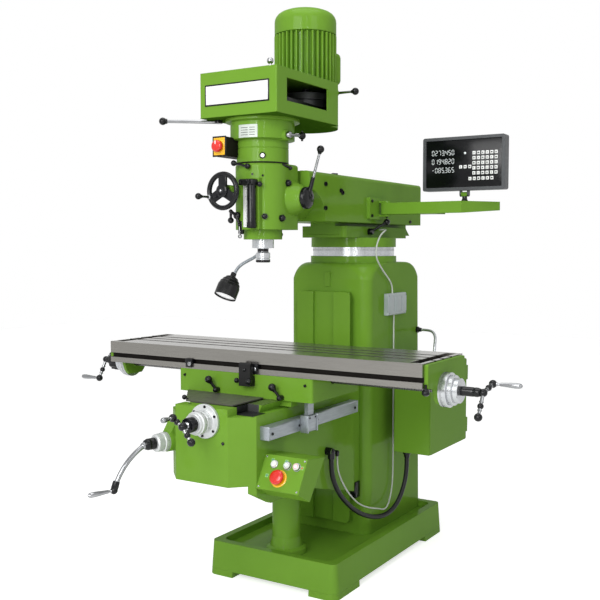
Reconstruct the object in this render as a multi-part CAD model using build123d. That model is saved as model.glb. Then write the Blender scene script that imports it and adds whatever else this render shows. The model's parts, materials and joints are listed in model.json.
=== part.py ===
from build123d import *
import math
import os

# Turret milling machine. X is to the operator's right, Y to the back and Z up, in millimetres.
# The origin is on the floor, at the centre of the foundation bolts.

# Clearances
running = 0.05
slide_gap = 0.4
seat_gap = 0.3

# Turn of every revolved shape, so that its seam stays off the places where other shapes join it
seam_turn = 38

# Base and its coolant tray
base_width = 550
base_length = 930
base_height = 126
base_draft = 4
base_corner = 32
tray_depth = 26
tray_rim = 30
foot_height = 22
foot_width = 110
foot_length = 177
anchor_spacing_x = 430
anchor_spacing_y = 810
anchor_radius = 11

# Column, its way and its collar
column_width = 356
column_front = -46
column_back_foot = 455
column_back_top = 430
column_corner = 38
column_wall = 24
shoulder_low = 1098
shoulder_middle = 1138
shoulder_high = 1160
shoulder_inset = 20
shoulder_corner = 160
collar_radius = 175
collar_top = 1186
way_half = 120
way_neck = 97
way_depth = 40
way_low = 150
way_high = 1050
way_recess_half = 45
way_recess_depth = 12
way_round = 22
lug_width = 25
lug_x = -2.5
lug_low = 1068
lug_high = 1125
lug_rise = 5

# Knee
knee_width = 340
knee_front = -850
knee_chamfer = 65
knee_ledge = 690
knee_heel = 273
chin_y = -757
nose_z = 467
cheek_thickness = 20
cheek_y = -704
cheek_z = 393
cheek_back = -425
rear_corner_y = -144
front_panel_depth = 50
way_top = 715
rail_inner = 95
rail_outer = 152
rail_flare = 12
rail_front = -727
rail_back = -60
trough_half = 90
trough_back = -115
trough_floor = 640

# Elevating drive
pedestal_inset = 115
pedestal_radius = 52
pedestal_flange = 74
pedestal_top = 340
well_radius = 22
elevating_radius = 17
elevating_nut_radius = 30
elevating_nut_length = 48
elevating_low = 138
knee_pocket_radius = 65
knee_pocket_top = 480
thrust_web = 30
gear_chamber_radius = 80
gear_chamber_top = 625
crank_axis_z = 587
crank_axis_turn = 16.3
crank_shaft_radius = 14
bevel_gear_radius = 56
bevel_pinion_radius = 28
bevel_face = 20
crank_boss_radius = 34
gusset_thickness = 44
gusset_high = 668
crank_dial_radius = 32
crank_dial_length = 44
crank_hub_radius = 19
crank_hub_length = 28
crank_arm_reach = 110
crank_arm_drop = 128
crank_arm_dip = 26
crank_arm_radius = 8

# Cross feed
cross_x = 20
cross_z = 672
feed_screw_radius = 12.5
nut_wall = 2.5
cross_flange_radius = 55
cross_flange_thickness = 36
cross_disc_thickness = 12
cross_drum_radius = 37
cross_hub_radius = 17
cross_hub_length = 46
cross_screw_back = -150
cross_grip_arm = (-55, 0, 25)
cross_weight_arm = (13, 0, -50)

# Ball cranks, knobs and grips
ball_radius = 13
small_ball_radius = 10
crank_bar_radius = 6
grip_length = 82
grip_radius = 9

# Linear scale and its reader
scale_front = -765
scale_back = -176
scale_low = 612
scale_high = 655
scale_thickness = 34
reader_y = -548
reader_length = 55
reader_thickness = 28

# Control box on the knee
control_width = 158
control_nose = (-790, 462)
control_brow = (-732, 561)
control_back_top = (-628, 548)
control_back_low = (-722, 424)
stop_x = 244
stop_along = 41
stop_radius = 24
button_along = 85
start_x = 263
halt_x = 298
pilot_x = 213
button_radius = 11
button_travel = 6
button_stem_radius = 5

# Saddle
saddle_width = 552
saddle_front_inset = 0.5
saddle_back_lip = 2.5
saddle_top = 795
lip_depth = 21
lip_outer = 188
saddle_tongue_half = 75
saddle_tongue_flare = 13
saddle_tongue_height = 20
cover_thickness = 4
cover_right = 85
cover_left_back = -238
cover_left_front = -105
cover_front = -796
stop_block_x = 28
stop_block_width = 46
stop_block_low = 757
stop_block_high = 835
stop_block_thickness = 18
stop_block_standoff = 11
clamp_left = (-103, 732)
clamp_right = (160, 726)
clamp_lever = (-21, -16, 36)

# Table
table_length = 1270
table_width = 320
table_shift = 29.5
table_y = -462.5
table_top = 872
table_slab = 42
dog_groove_height = 16
dog_groove_depth = 14
table_band = 19
slot_count = 3
slot_pitch = 63
slot_neck = 16
slot_neck_depth = 16
slot_foot = 27
slot_foot_height = 12
gutter_width = 36
gutter_depth = 10
gutter_wall = 14
screw_y = -487
screw_z = 778
bracket_thickness = 13
bracket_half = 146
bracket_boss_half = 50
bracket_drop = 42
dial_steps = ((55, 26), (47, 15), (39, 17))
table_hub_radius = 15
table_hub_length = 58
left_hub_length = 72
left_knob_radius = 34
left_knob_length = 44
right_grip_arm = (8, 62, 20)
right_weight_arm = (0, -41, -69)
left_grip_arm = (-2, -36, -70)
left_weight_arm = (0, 58, 30)

# Turret and ram
turret_y = 160
ring_radius = 166
ring_height = 36
turret_radius = 173
turret_height = 37
guide_half = 99
guide_front = -89
guide_back = 461
guide_height = 44
tongue_neck = 55
tongue_flare = 18
tongue_depth = 32
ram_gap = 13
ram_width = 252
ram_height = 174
ram_front = -392
ram_back = 540
ram_edge = 14
ram_nose_cut = 110
swivel_radius = 84
swivel_length = 12
ram_lever_y = 104
ram_lever_arm = (46, 46, 39)

# Display and its arm
arm_bracket_front = 36
arm_bracket_length = 160
arm_bracket_low = 1331
arm_bracket_high = 1416
arm_bracket_thickness = 14
arm_pivot_x = 170
arm_root_radius = 25
arm_ear_radius = 14
arm_ear_thickness = 8
arm_pin_radius = 6
arm_low = 1351
arm_high = 1396
arm_front = 100
arm_corner_x = 492
arm_end = (590, 250)
arm_back = (440, 232)
arm_tip_thickness = 33
display_width = 330
display_height = 204
display_depth = 44
display_corner = 8
display_x = 477
display_y = 172
display_low = 1438
yoke_z = 1424
yoke_radius = 9

# Head
spindle_y = -497
head_axis_z = 1403
housing_half = 94
housing_low = 1282
housing_high = 1507
housing_back = -418
head_flange_radius = 100
quill_flange_radius = 67
quill_flange_low = 1249
stop_pad_front = -594
gear_ring_radius = 90
gear_ring_high = 1585
gear_drum_radius = 111
gear_drum_high = 1646
gear_cap_radius = 128
belt_box_width = 312
belt_box_front = -644
belt_box_length = 402
belt_box_low = 1659
belt_box_height = 150
belt_box_wall = 6
belt_box_corner = 4
belt_box_tail_radius = 121
window_front = -583
window_length = 266
window_low = 1702
window_height = 75
motor_y = -215
motor_core_radius = 104
motor_fin_radius = 115
motor_fin_count = 40
motor_fin_thickness = 4
motor_body_height = 196
motor_collar_height = 14
fan_cover_radius = 114
fan_cover_height = 86
fan_cover_dome = 24
terminal_reach = 130
terminal_width = 92
terminal_low = 1838
terminal_height = 104
motor_shaft_radius = 14
motor_bore_end = 60
pulley_low = 1684
pulley_step = 24
spindle_steps = (112, 98, 84, 70)
motor_steps = (60, 74, 88, 102)
belt_step = 1
belt_thickness = 9
belt_height = 16
sleeve_radius = 28

# Quill, spindle and feed
quill_radius = 38
quill_low = 1219
quill_high = 1492
spindle_radius = 16
spindle_bore = 10
spindle_bore_depth = 40
nose_neck_radius = 19
nose_radius = 25
nose_shoulder = 1205
nose_low = 1169
spindle_high = 1796
drawbar_radius = 9
bearing_wall = 4
lower_bearing = 70
upper_bearing = 60
pinion_y = -443
pinion_z = 1391
pinion_radius = 14
lever_boss_radius = 36
lever_boss_end = 138
lever_hub_radius = 38
lever_hub_length = 22
lever_ball = (201, -443, 1554)
lever_rod_radius = 5
wheel_x = -50
wheel_y = -660
wheel_z = 1410
wheel_radius = 65
wheel_rim = 12
wheel_hub_radius = 18
wheel_thickness = 14
wheel_shaft_radius = 9
wheel_boss_radius = 22
wheel_boss_end = -640
depth_stop_x = 32
depth_stop_radius = 15
depth_stop_low = 1286
depth_stop_high = 1450
depth_scale_width = 22
depth_scale_thickness = 5

# Small levers, switch and lamp
brake_pivot = (-126, -581)
brake_ball = (-279, -694)
back_gear_y = -518
back_gear_z = 1600
back_gear_reach = 78
speed_lever_x = 136
speed_lever_z = 1779
speed_lever_reach = 78
feed_lever_x = 10
feed_lever_z = 1494
feed_lever_reach = 54
switch_left = -105
switch_right = -51
switch_front = -640
switch_low = 1528
switch_high = 1594
switch_knob_radius = 17
switch_knob_length = 22
lamp_foot = (-46, -431)
lamp_foot_radius = 12
neck_radius = 6
lamp_head_radius = 40
lamp_crown = (-129, -495, 1125)
lamp_lens = (-138, -535, 1047)

# Electrical cabinet, junction box and glands
cabinet_left = 239
cabinet_width = 149
cabinet_front = 60
cabinet_depth = 369
cabinet_low = 421
cabinet_height = 339
cabinet_wall = 4
stand_front = 200
stand_length = 180
stand_height = 50
door_thickness = 4
hinge_radius = 6
hinge_pin_radius = 3
hinge_length = 40
junction_front = 87
junction_length = 166
junction_low = 952
junction_height = 86
junction_thickness = 20
conduit_radius = 6
hose_radius = 9
cable_radius = 3
gland_wall = 4

# Routes of the cords, chosen by hand from the photograph
conduit_route = [
    (200, 396, 872), (226, 396, 872), (253, 382, 870), (277, 354, 863), (296, 322, 852), (307, 296, 838),
    (312, 280, 821), (314, 272, 802), (314, 272, 782),
]
hose_route = [
    (190, -348, 470), (190, -348, 430), (192, -334, 382), (196, -302, 332), (202, -256, 286),
    (210, -204, 246),
    (221, -146, 214), (234, -84, 194), (247, -26, 190), (259, 24, 208), (269, 58, 246), (277, 80, 300),
    (281, 88, 352), (281, 88, 397),
]
display_route = [
    (122, 150, 1292), (144, 150, 1292), (162, 134, 1291), (174, 98, 1286), (181, 56, 1274), (187, 18, 1252),
    (190, -6, 1222), (190, -8, 1188), (190, 14, 1160), (190, 50, 1132), (189, 88, 1108), (188, 122, 1086),
    (188, 140, 1062), (188, 140, 1038),
]
scale_route = [
    (188, 154, 952), (188, 154, 330), (189, 148, 262), (194, 118, 214), (204, 72, 192), (216, 20, 194),
    (222, -38, 214), (215, -98, 230), (204, -158, 256), (197, -212, 298), (192, -256, 346),
    (188, -290, 400),
    (188, -302, 436), (188, -302, 470),
]
lamp_route = [
    (-46, -431, 1268), (-46, -431, 1232), (-49, -441, 1206), (-60, -458, 1187), (-80, -475, 1174),
    (-102, -486, 1160),
    (-119, -491, 1143), (-128, -495, 1122),
]

# Sizes worked out from the ones above
tray_floor = base_height - tray_depth
column_half = column_width / 2
knee_half = knee_width / 2
knee_back = column_front - slide_gap
saddle_low = way_top + slide_gap
table_low = table_top - table_slab - dog_groove_height - table_band
table_front = table_y - table_width / 2
saddle_front = table_front + saddle_front_inset
saddle_back = table_y + table_width / 2 + saddle_back_lip
table_left = table_shift - table_length / 2
table_right = table_shift + table_length / 2
ring_low = collar_top + seat_gap
turret_low = ring_low + ring_height
guide_low = turret_low + turret_height
guide_top = guide_low + guide_height
ram_low = guide_top + ram_gap
ram_top = ram_low + ram_height
ram_half = ram_width / 2
belt_box_top = belt_box_low + belt_box_height
belt_box_back = belt_box_front + belt_box_length
belt_box_half = belt_box_width / 2
motor_top = belt_box_top + motor_body_height
cabinet_right = cabinet_left + cabinet_width
cabinet_back = cabinet_front + cabinet_depth
cabinet_top = cabinet_low + cabinet_height
crank_turn = math.radians(crank_axis_turn)
crank_dir = Vector(-math.sin(crank_turn), -math.cos(crank_turn), 0)
pedestal_y = pedestal_inset - base_length / 2
crank_origin = Vector(0, pedestal_y, crank_axis_z)
crank_boss_end = (pedestal_y - knee_front) / math.cos(crank_turn)


def block(x0, x1, y0, y1, z0, z1):
    """Box between two corners."""
    return Pos((x0 + x1) / 2, (y0 + y1) / 2, (z0 + z1) / 2) * Box(x1 - x0, y1 - y0, z1 - z0)


def rod(start, end, radius):
    """Round bar from one point to another."""
    way = Vector(*end) - Vector(*start)
    up = (Align.CENTER, Align.CENTER, Align.MIN)
    return Plane(origin=start, z_dir=way) * Cylinder(radius, way.length, align=up)


def ball(centre, radius):
    return Pos(*centre) * Sphere(radius)


def knobbed(start, end, thickness, radius):
    """Lever arm with a ball on its end."""
    way = Vector(*end) - Vector(*start)
    return rod(start, end, thickness) + Plane(origin=end, z_dir=way) * Sphere(radius)


def turned(outline, origin=(0, 0, 0), axis=(0, 0, 1)):
    """Solid of revolution from a closed outline of (radius, height) points."""
    face = make_face(Plane.XZ * Polyline(*outline, close=True))
    return Plane(origin=origin, z_dir=axis) * Rot(0, 0, seam_turn) * revolve(face, Axis.Z)


def prism_x(outline, x0, x1):
    """Outline of (y, z) points run from x0 to x1."""
    face = make_face(Polyline(*[(x0, y, z) for y, z in outline], close=True))
    return extrude(face, amount=x1 - x0, dir=(1, 0, 0))


def prism_y(outline, y0, y1):
    """Outline of (x, z) points run from y0 to y1."""
    face = make_face(Polyline(*[(x, y0, z) for x, z in outline], close=True))
    return extrude(face, amount=y1 - y0, dir=(0, 1, 0))


def prism_z(outline, z0, z1):
    """Outline of (x, y) points run from z0 to z1."""
    face = make_face(Polyline(*[(x, y, z0) for x, y in outline], close=True))
    return extrude(face, amount=z1 - z0, dir=(0, 0, 1))


def upright_edges(shape):
    return shape.edges().filter_by(Axis.Z)


def cord(route, radius):
    """Tube along straight runs joined by arcs, each as large as its runs allow."""
    points = [Vector(*p) for p in route]
    radii = []
    for before, here, after in zip(points, points[1:], points[2:]):
        arriving, leaving = here - before, after - here
        turn = math.radians(arriving.get_angle(leaving))
        radii.append(0.45 * min(arriving.length, leaving.length) / math.tan(turn / 2))
    path = FilletPolyline(*route, radius=radii)
    start = Plane(origin=path @ 0, z_dir=path % 0)
    return sweep(start * Circle(radius), path=path)


# Base, column and elevating pedestal

def base_blank(height):
    """Drafted block of the base's outline, with the holes of the foundation bolts."""
    body = extrude(RectangleRounded(base_width, base_length, base_corner), height, taper=base_draft)
    bolts = GridLocations(anchor_spacing_x, anchor_spacing_y, 2, 2)
    return body - [spot * Cylinder(anchor_radius, 2 * base_height) for spot in bolts]


def make_base():
    body = base_blank(base_height)
    body -= block(-base_width, base_width, -base_length, base_length, 0, foot_height)
    lean = 2 * base_height * math.tan(math.radians(base_draft))
    tray = RectangleRounded(
        base_width - lean - 2 * tray_rim, base_length - lean - 2 * tray_rim, base_corner,
    )
    body -= Pos(0, 0, tray_floor) * extrude(tray, tray_depth)
    body -= Pos(0, pedestal_y, 0) * Cylinder(well_radius, 2 * base_height)
    return body - extrude(column_section(tray_floor, column_back_foot), tray_depth)


def make_base_feet():
    """Four pads under the corners of the base, with ways for forks between them."""
    clear_x = base_width / 2 - foot_width
    clear_y = base_length / 2 - foot_length
    pads = base_blank(foot_height)
    pads -= block(-clear_x, clear_x, -base_length, base_length, 0, foot_height)
    pads -= block(-base_width, base_width, -clear_y, clear_y, 0, foot_height)
    return Compound(pads.solids())


def column_section(height, back, inset=0, corner=column_corner):
    middle = (column_front + back) / 2
    length = back - column_front - 2 * inset
    return Pos(0, middle, height) * RectangleRounded(column_width, length, corner)


def make_column():
    wall_top = column_section(shoulder_low, column_back_top)
    bend = column_section(
        shoulder_middle, column_back_top, shoulder_inset * 0.3, (2 * column_corner + shoulder_corner) / 3,
    )
    roof = column_section(shoulder_high, column_back_top, shoulder_inset, shoulder_corner)
    body = loft([column_section(tray_floor, column_back_foot), wall_top]) + loft([wall_top, bend, roof])
    body += Pos(0, turret_y, shoulder_low) * extrude(Circle(collar_radius), collar_top - shoulder_low)
    way = prism_z([
        (-way_neck, column_front + way_recess_depth), (-way_neck, column_front),
        (-way_half, column_front - way_depth), (-way_recess_half, column_front - way_depth),
        (-way_recess_half, column_front - way_depth + way_recess_depth),
        (way_recess_half, column_front - way_depth + way_recess_depth),
        (way_recess_half, column_front - way_depth), (way_half, column_front - way_depth),
        (way_neck, column_front), (way_neck, column_front + way_recess_depth),
    ], way_low, way_high)
    front = Pos(0, column_front, (way_low + way_high) / 2) * Rot(90, 0, 0)
    outline = RectangleRounded(2 * way_half, way_high - way_low, way_round)
    body += way & front * extrude(outline, 2 * way_depth, both=True)
    body += block(
        lug_x - lug_width / 2, lug_x + lug_width / 2, column_front - lug_rise, column_front + shoulder_inset,
        lug_low, lug_high,
    )
    inside = block(
        column_wall - column_half, column_half - column_wall,
        column_front + column_wall, column_back_top - column_wall,
        tray_floor, shoulder_low - column_wall,
    )
    return body - inside


def make_pedestal():
    height = pedestal_top - tray_floor
    seat = height - elevating_nut_length
    tube = turned([
        (well_radius, 0), (pedestal_flange, 0), (pedestal_flange, 20), (pedestal_flange - 14, 27),
        (pedestal_radius + 4, 46), (pedestal_radius, 62), (pedestal_radius, height),
        (elevating_nut_radius, height), (elevating_nut_radius, seat), (well_radius, seat),
    ], (0, pedestal_y, tray_floor))
    inner = elevating_radius + running
    nut = turned([
        (inner, 0), (elevating_nut_radius, 0), (elevating_nut_radius, elevating_nut_length),
        (inner, elevating_nut_length),
    ], (0, pedestal_y, pedestal_top - elevating_nut_length))
    return Compound([tube, nut])


def along_crank(distance, drop=0):
    """Point on the elevating crank's axis, counted outwards from the screw."""
    return crank_origin + crank_dir * distance - Vector(0, 0, drop)


def make_elevating_screw():
    web_top = knee_pocket_top + thrust_web + slide_gap
    gear_rim = crank_axis_z - bevel_pinion_radius - slide_gap
    inner = bevel_gear_radius - bevel_face
    rise = bevel_face * bevel_pinion_radius / bevel_gear_radius
    return turned([
        (0, elevating_low), (elevating_radius, elevating_low), (elevating_radius, web_top),
        (elevating_radius + 13, web_top), (elevating_radius + 13, gear_rim - 14),
        (bevel_gear_radius, gear_rim - 14), (bevel_gear_radius, gear_rim),
        (inner, gear_rim + rise), (0, gear_rim + rise),
    ], (0, pedestal_y, 0))


def make_crank_shaft():
    large = bevel_gear_radius + slide_gap
    small = large - bevel_face
    taper = bevel_face * bevel_pinion_radius / bevel_gear_radius
    end = crank_boss_end + crank_dial_length + crank_hub_length
    shaft = turned([
        (0, small), (bevel_pinion_radius - taper, small), (bevel_pinion_radius, large),
        (bevel_pinion_radius, large + 14), (crank_shaft_radius, large + 14),
        (crank_shaft_radius, end), (0, end),
    ], crank_origin, crank_dir)
    start = crank_boss_end + slide_gap
    stop = crank_boss_end + crank_dial_length
    dial = turned([
        (crank_shaft_radius, start), (crank_dial_radius, start), (crank_dial_radius, start + 16),
        (crank_dial_radius - 3, start + 18), (crank_dial_radius - 3, stop - 4),
        (crank_dial_radius - 7, stop), (crank_shaft_radius, stop),
    ], crank_origin, crank_dir)
    return Compound([shaft, dial])


def grip_outline():
    return [
        (0, 0), (grip_radius * 0.6, 0), (grip_radius * 0.6, grip_length * 0.12),
        (grip_radius * 0.8, grip_length * 0.3),
        (grip_radius, grip_length * 0.75), (grip_radius * 0.8, grip_length * 0.94),
        (grip_radius * 0.4, grip_length),
        (0, grip_length),
    ]


def make_knee_crank():
    start = crank_boss_end + crank_dial_length + seat_gap
    stop = start + crank_hub_length + 12
    hub = turned([
        (crank_shaft_radius, start), (crank_hub_radius, start), (crank_hub_radius, stop - 10),
        (crank_hub_radius - 8, stop), (0, stop), (0, stop - 12), (crank_shaft_radius, stop - 12),
    ], crank_origin, crank_dir)
    root = along_crank(stop - 4)
    tip = along_crank(stop + crank_arm_reach, crank_arm_drop)
    dip = math.radians(crank_arm_dip)
    leaving = crank_dir * math.cos(dip) - Vector(0, 0, math.sin(dip))
    path = TangentArc(root, tip, tangent=leaving)
    arm = sweep(Plane(origin=root, z_dir=leaving) * Circle(crank_arm_radius), path=path)
    arm += ball(tip, crank_arm_radius + 4)
    grip = turned(grip_outline(), tip + crank_dir * crank_arm_radius, crank_dir)
    return hub + arm + grip


# Knee with what is bolted to it

def make_knee():
    side = [
        (knee_front, knee_ledge), (knee_back, knee_ledge), (knee_back, knee_heel), (chin_y, nose_z),
        (knee_front, nose_z),
    ]
    body = prism_x(side, -knee_half, knee_half)
    cheek = [(knee_front, nose_z), (cheek_back, nose_z), (cheek_back, cheek_z), (cheek_y, cheek_z)]
    body += prism_x(cheek, knee_half - cheek_thickness, knee_half)
    rear_half = rail_outer - rail_flare
    for hand in (-1, 1):
        corner = [
            (hand * knee_half, knee_front), (hand * (knee_half - knee_chamfer), knee_front),
            (hand * knee_half, knee_front + knee_chamfer),
        ]
        body -= prism_z(corner, knee_heel, knee_ledge)
        rear = [
            (hand * rear_half, rear_corner_y), (hand * rear_half, knee_back + 1),
            (hand * (knee_half + 1), knee_back + 1), (hand * (knee_half + 1), rear_corner_y),
        ]
        body -= prism_z(rear, knee_heel, knee_ledge)
    panel_half = knee_half - knee_chamfer
    body += block(-panel_half, panel_half, knee_front, knee_front + front_panel_depth, knee_ledge, way_top)
    for hand in (-1, 1):
        rail = [
            (hand * rail_inner, knee_ledge), (hand * (rail_outer - rail_flare), knee_ledge),
            (hand * rail_outer, way_top), (hand * rail_inner, way_top),
        ]
        body += prism_y(rail, rail_front, rail_back)
    body -= block(
        -trough_half, trough_half, knee_front + front_panel_depth, trough_back, trough_floor, knee_ledge,
    )
    body += rod(along_crank(gear_chamber_radius + 40), along_crank(crank_boss_end), crank_boss_radius)
    reach, rise, root = crank_boss_end - 4, gusset_high - crank_axis_z, crank_boss_end - 46
    rib = [(root, 0), (reach, 0), (reach, crank_boss_radius - 4), (reach - 30, rise), (root, rise)]
    rib_plane = Plane(origin=crank_origin, x_dir=crank_dir, z_dir=Vector(0, 0, 1).cross(crank_dir) * -1)
    body += rib_plane * extrude(make_face(Polyline(*rib, close=True)), gusset_thickness / 2, both=True)
    body -= Pos(0, pedestal_y, knee_heel) * extrude(Circle(knee_pocket_radius), knee_pocket_top - knee_heel)
    chamber_low = knee_pocket_top + thrust_web
    body -= Pos(0, pedestal_y, chamber_low) * extrude(
        Circle(gear_chamber_radius), gear_chamber_top - chamber_low,
    )
    body -= Pos(0, pedestal_y, knee_heel) * extrude(
        Circle(elevating_radius + running), chamber_low - knee_heel,
    )
    body -= rod(along_crank(0), along_crank(crank_boss_end + 1), crank_shaft_radius + running)
    body -= rod(
        (cross_x, knee_front - 1, cross_z), (cross_x, rail_front, cross_z), feed_screw_radius + running,
    )
    neck, half = way_neck + slide_gap, way_half + slide_gap
    groove = [
        (-neck, knee_back + 1), (-neck, knee_back), (-half, column_front - way_depth - slide_gap),
        (half, column_front - way_depth - slide_gap), (neck, knee_back), (neck, knee_back + 1),
    ]
    body -= prism_z(groove, knee_heel, way_top)
    outlet = hose_route[0]
    body += rod(
        (knee_half, outlet[1], outlet[2] + 24), (outlet[0] + 6, outlet[1], outlet[2] + 24),
        hose_radius + gland_wall,
    )
    body += rod(outlet, (outlet[0], outlet[1], outlet[2] + 24), hose_radius + gland_wall - 1)
    entry = scale_route[-1]
    body += rod(
        (knee_half, entry[1], entry[2] + 12), (entry[0] + 3, entry[1], entry[2] + 12),
        cable_radius + gland_wall,
    )
    body += rod(entry, (entry[0], entry[1], entry[2] + 12), cable_radius + gland_wall - 1)
    return body


def make_cross_flange():
    inner = feed_screw_radius + running
    back = knee_front
    return turned([
        (inner, 0), (cross_flange_radius, 0), (cross_flange_radius, cross_disc_thickness - 2),
        (cross_flange_radius - 2, cross_disc_thickness), (cross_drum_radius, cross_disc_thickness),
        (cross_drum_radius, cross_flange_thickness - 3), (cross_drum_radius - 3, cross_flange_thickness),
        (inner, cross_flange_thickness),
    ], (cross_x, back, cross_z), (0, -1, 0))


def make_cross_screw():
    front = knee_front - cross_flange_thickness - cross_hub_length
    return rod((cross_x, front, cross_z), (cross_x, cross_screw_back, cross_z), feed_screw_radius)


def ball_crank(centre, axis, grip_arm, weight_arm, hub):
    """Crank of two arms with balls on them and a grip at the end of the first."""
    centre, axis = Vector(*centre), Vector(*axis)
    body = hub + Plane(origin=centre, z_dir=axis) * Rot(0, 0, seam_turn) * Sphere(ball_radius)
    for arm in (Vector(*grip_arm), Vector(*weight_arm)):
        middle = Plane(origin=centre + arm * 0.55, z_dir=arm) * Sphere(small_ball_radius)
        body += knobbed(centre, centre + arm, crank_bar_radius, ball_radius) + middle
    return body + turned(grip_outline(), centre + Vector(*grip_arm) + axis * (ball_radius - 1), axis)


def make_cross_crank():
    start = knee_front - cross_flange_thickness - slide_gap
    stop = knee_front - cross_flange_thickness - cross_hub_length
    hub = turned([
        (feed_screw_radius, 0), (cross_hub_radius + 9, 0), (cross_hub_radius + 9, 14),
        (cross_hub_radius, 18),
        (cross_hub_radius, start - stop + 6), (0, start - stop + 6), (0, start - stop),
        (feed_screw_radius, start - stop),
    ], (cross_x, start, cross_z), (0, -1, 0))
    return ball_crank(
        (cross_x, stop - ball_radius, cross_z), (0, -1, 0), cross_grip_arm, cross_weight_arm, hub,
    )


def make_linear_scale():
    bar = block(knee_half, knee_half + scale_thickness, scale_front, scale_back, scale_low, scale_high)
    lip = block(
        knee_half + scale_thickness * 0.4, knee_half + scale_thickness * 0.6, scale_front, scale_back,
        scale_low - 1, scale_low + 8,
    )
    return chamfer((bar - lip).edges().filter_by(Axis.Y).group_by(Axis.Z)[-1], 4)


def make_scale_reader():
    near = knee_half + scale_thickness + slide_gap
    y0, y1 = reader_y - reader_length / 2, reader_y + reader_length / 2
    head = block(near, near + reader_thickness, y0, y1, scale_low - 4, scale_high + 6)
    hanger = block(near + 8, near + reader_thickness - 6, y0 + 10, y1 - 10, scale_high, saddle_low)
    return chamfer(head.edges().filter_by(Axis.Y), 3) + hanger


# Control box

control_dir = Vector(0, control_brow[0] - control_nose[0], control_brow[1] - control_nose[1]).normalized()
control_out = Vector(0, -control_dir.Z, control_dir.Y)


def on_control(x, along, out=0):
    """Point on the sloping control face."""
    return Vector(x, control_nose[0], control_nose[1]) + control_dir * along + control_out * out


def make_control_box():
    side = [control_nose, control_brow, control_back_top, control_back_low]
    box = prism_x(side, knee_half, knee_half + control_width)
    for x, along in ((stop_x, stop_along), (start_x, button_along), (halt_x, button_along)):
        box -= rod(on_control(x, along, -40), on_control(x, along, 1), button_stem_radius + running)
    pilot = turned([(0, 0), (9, 0), (9, 4), (6, 8), (0, 9)], on_control(pilot_x, button_along), control_out)
    return Compound([box, pilot])


def make_stop_button():
    gap = button_travel + slide_gap
    return turned([
        (0, -30), (button_stem_radius, -30), (button_stem_radius, gap), (stop_radius * 0.6, gap),
        (stop_radius, gap + 6),
        (stop_radius, gap + 11), (stop_radius * 0.7, gap + 17), (0, gap + 19),
    ], on_control(stop_x, stop_along), control_out)


def make_push_button(x):
    gap = button_travel + slide_gap
    return turned([
        (0, -30), (button_stem_radius, -30), (button_stem_radius, gap), (button_radius, gap),
        (button_radius, gap + 4),
        (button_radius - 2, gap + 6), (0, gap + 6),
    ], on_control(x, button_along), control_out)


# Saddle with what rides on it

def make_saddle():
    half = saddle_width / 2
    body = block(-half, half, saddle_front, saddle_back, saddle_low, saddle_top)
    body = fillet(upright_edges(body), 10)
    lip_lean = rail_flare * lip_depth / (way_top - knee_ledge)
    for hand in (-1, 1):
        lip = [
            (hand * (rail_outer + slide_gap), saddle_low),
            (hand * (rail_outer - lip_lean + slide_gap), saddle_low - lip_depth),
            (hand * lip_outer, saddle_low - lip_depth), (hand * lip_outer, saddle_low),
        ]
        body += prism_y(lip, saddle_front + 12, saddle_back)
    tongue_top = saddle_top + saddle_tongue_height
    tongue = [
        (table_y - saddle_tongue_half, saddle_top),
        (table_y - saddle_tongue_half - saddle_tongue_flare, tongue_top),
        (table_y + saddle_tongue_half + saddle_tongue_flare, tongue_top),
        (table_y + saddle_tongue_half, saddle_top),
    ]
    body += prism_x(tongue, -half, half)
    bore = feed_screw_radius + nut_wall
    return body - rod((-half - 1, screw_y, screw_z), (half + 1, screw_y, screw_z), bore)


def make_feed_nuts():
    inner, outer = feed_screw_radius + running, feed_screw_radius + nut_wall
    table_nut = turned(
        [(inner, -45), (outer, -45), (outer, 45), (inner, 45)], (0, screw_y, screw_z), (1, 0, 0),
    )
    cross_nut = block(cross_x - 27, cross_x + 27, table_y - 35, table_y + 35, cross_z - 26, saddle_low)
    cross_nut -= rod((cross_x, table_y - 40, cross_z), (cross_x, table_y + 40, cross_z), inner)
    return Compound([table_nut, cross_nut])


def make_way_cover():
    sheet = [
        (cover_left_back, saddle_front), (cover_left_front, cover_front), (cover_right, cover_front),
        (cover_right, saddle_front),
    ]
    low = saddle_low + seat_gap
    return prism_z(sheet, low, low + cover_thickness)


def make_stop_block():
    x0, x1 = stop_block_x - stop_block_width / 2, stop_block_x + stop_block_width / 2
    front = saddle_front - stop_block_standoff - stop_block_thickness
    upper = block(x0, x1, front, front + stop_block_thickness, stop_block_low, stop_block_high)
    foot = block(x0, x1, front, saddle_front, stop_block_low, table_low - 6)
    return chamfer((upper + foot).edges().filter_by(Axis.X).group_by(Axis.Z)[-1], 5)


def make_saddle_clamp(place):
    x, z = place
    hub = turned([(0, 0), (9, 0), (9, 18), (6, 22), (0, 22)], (x, saddle_front - seat_gap, z), (0, -1, 0))
    start = Vector(x, saddle_front - 12, z)
    end = start + Vector(*clamp_lever)
    return hub + knobbed(start, end, 4, small_ball_radius)


# Table

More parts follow.
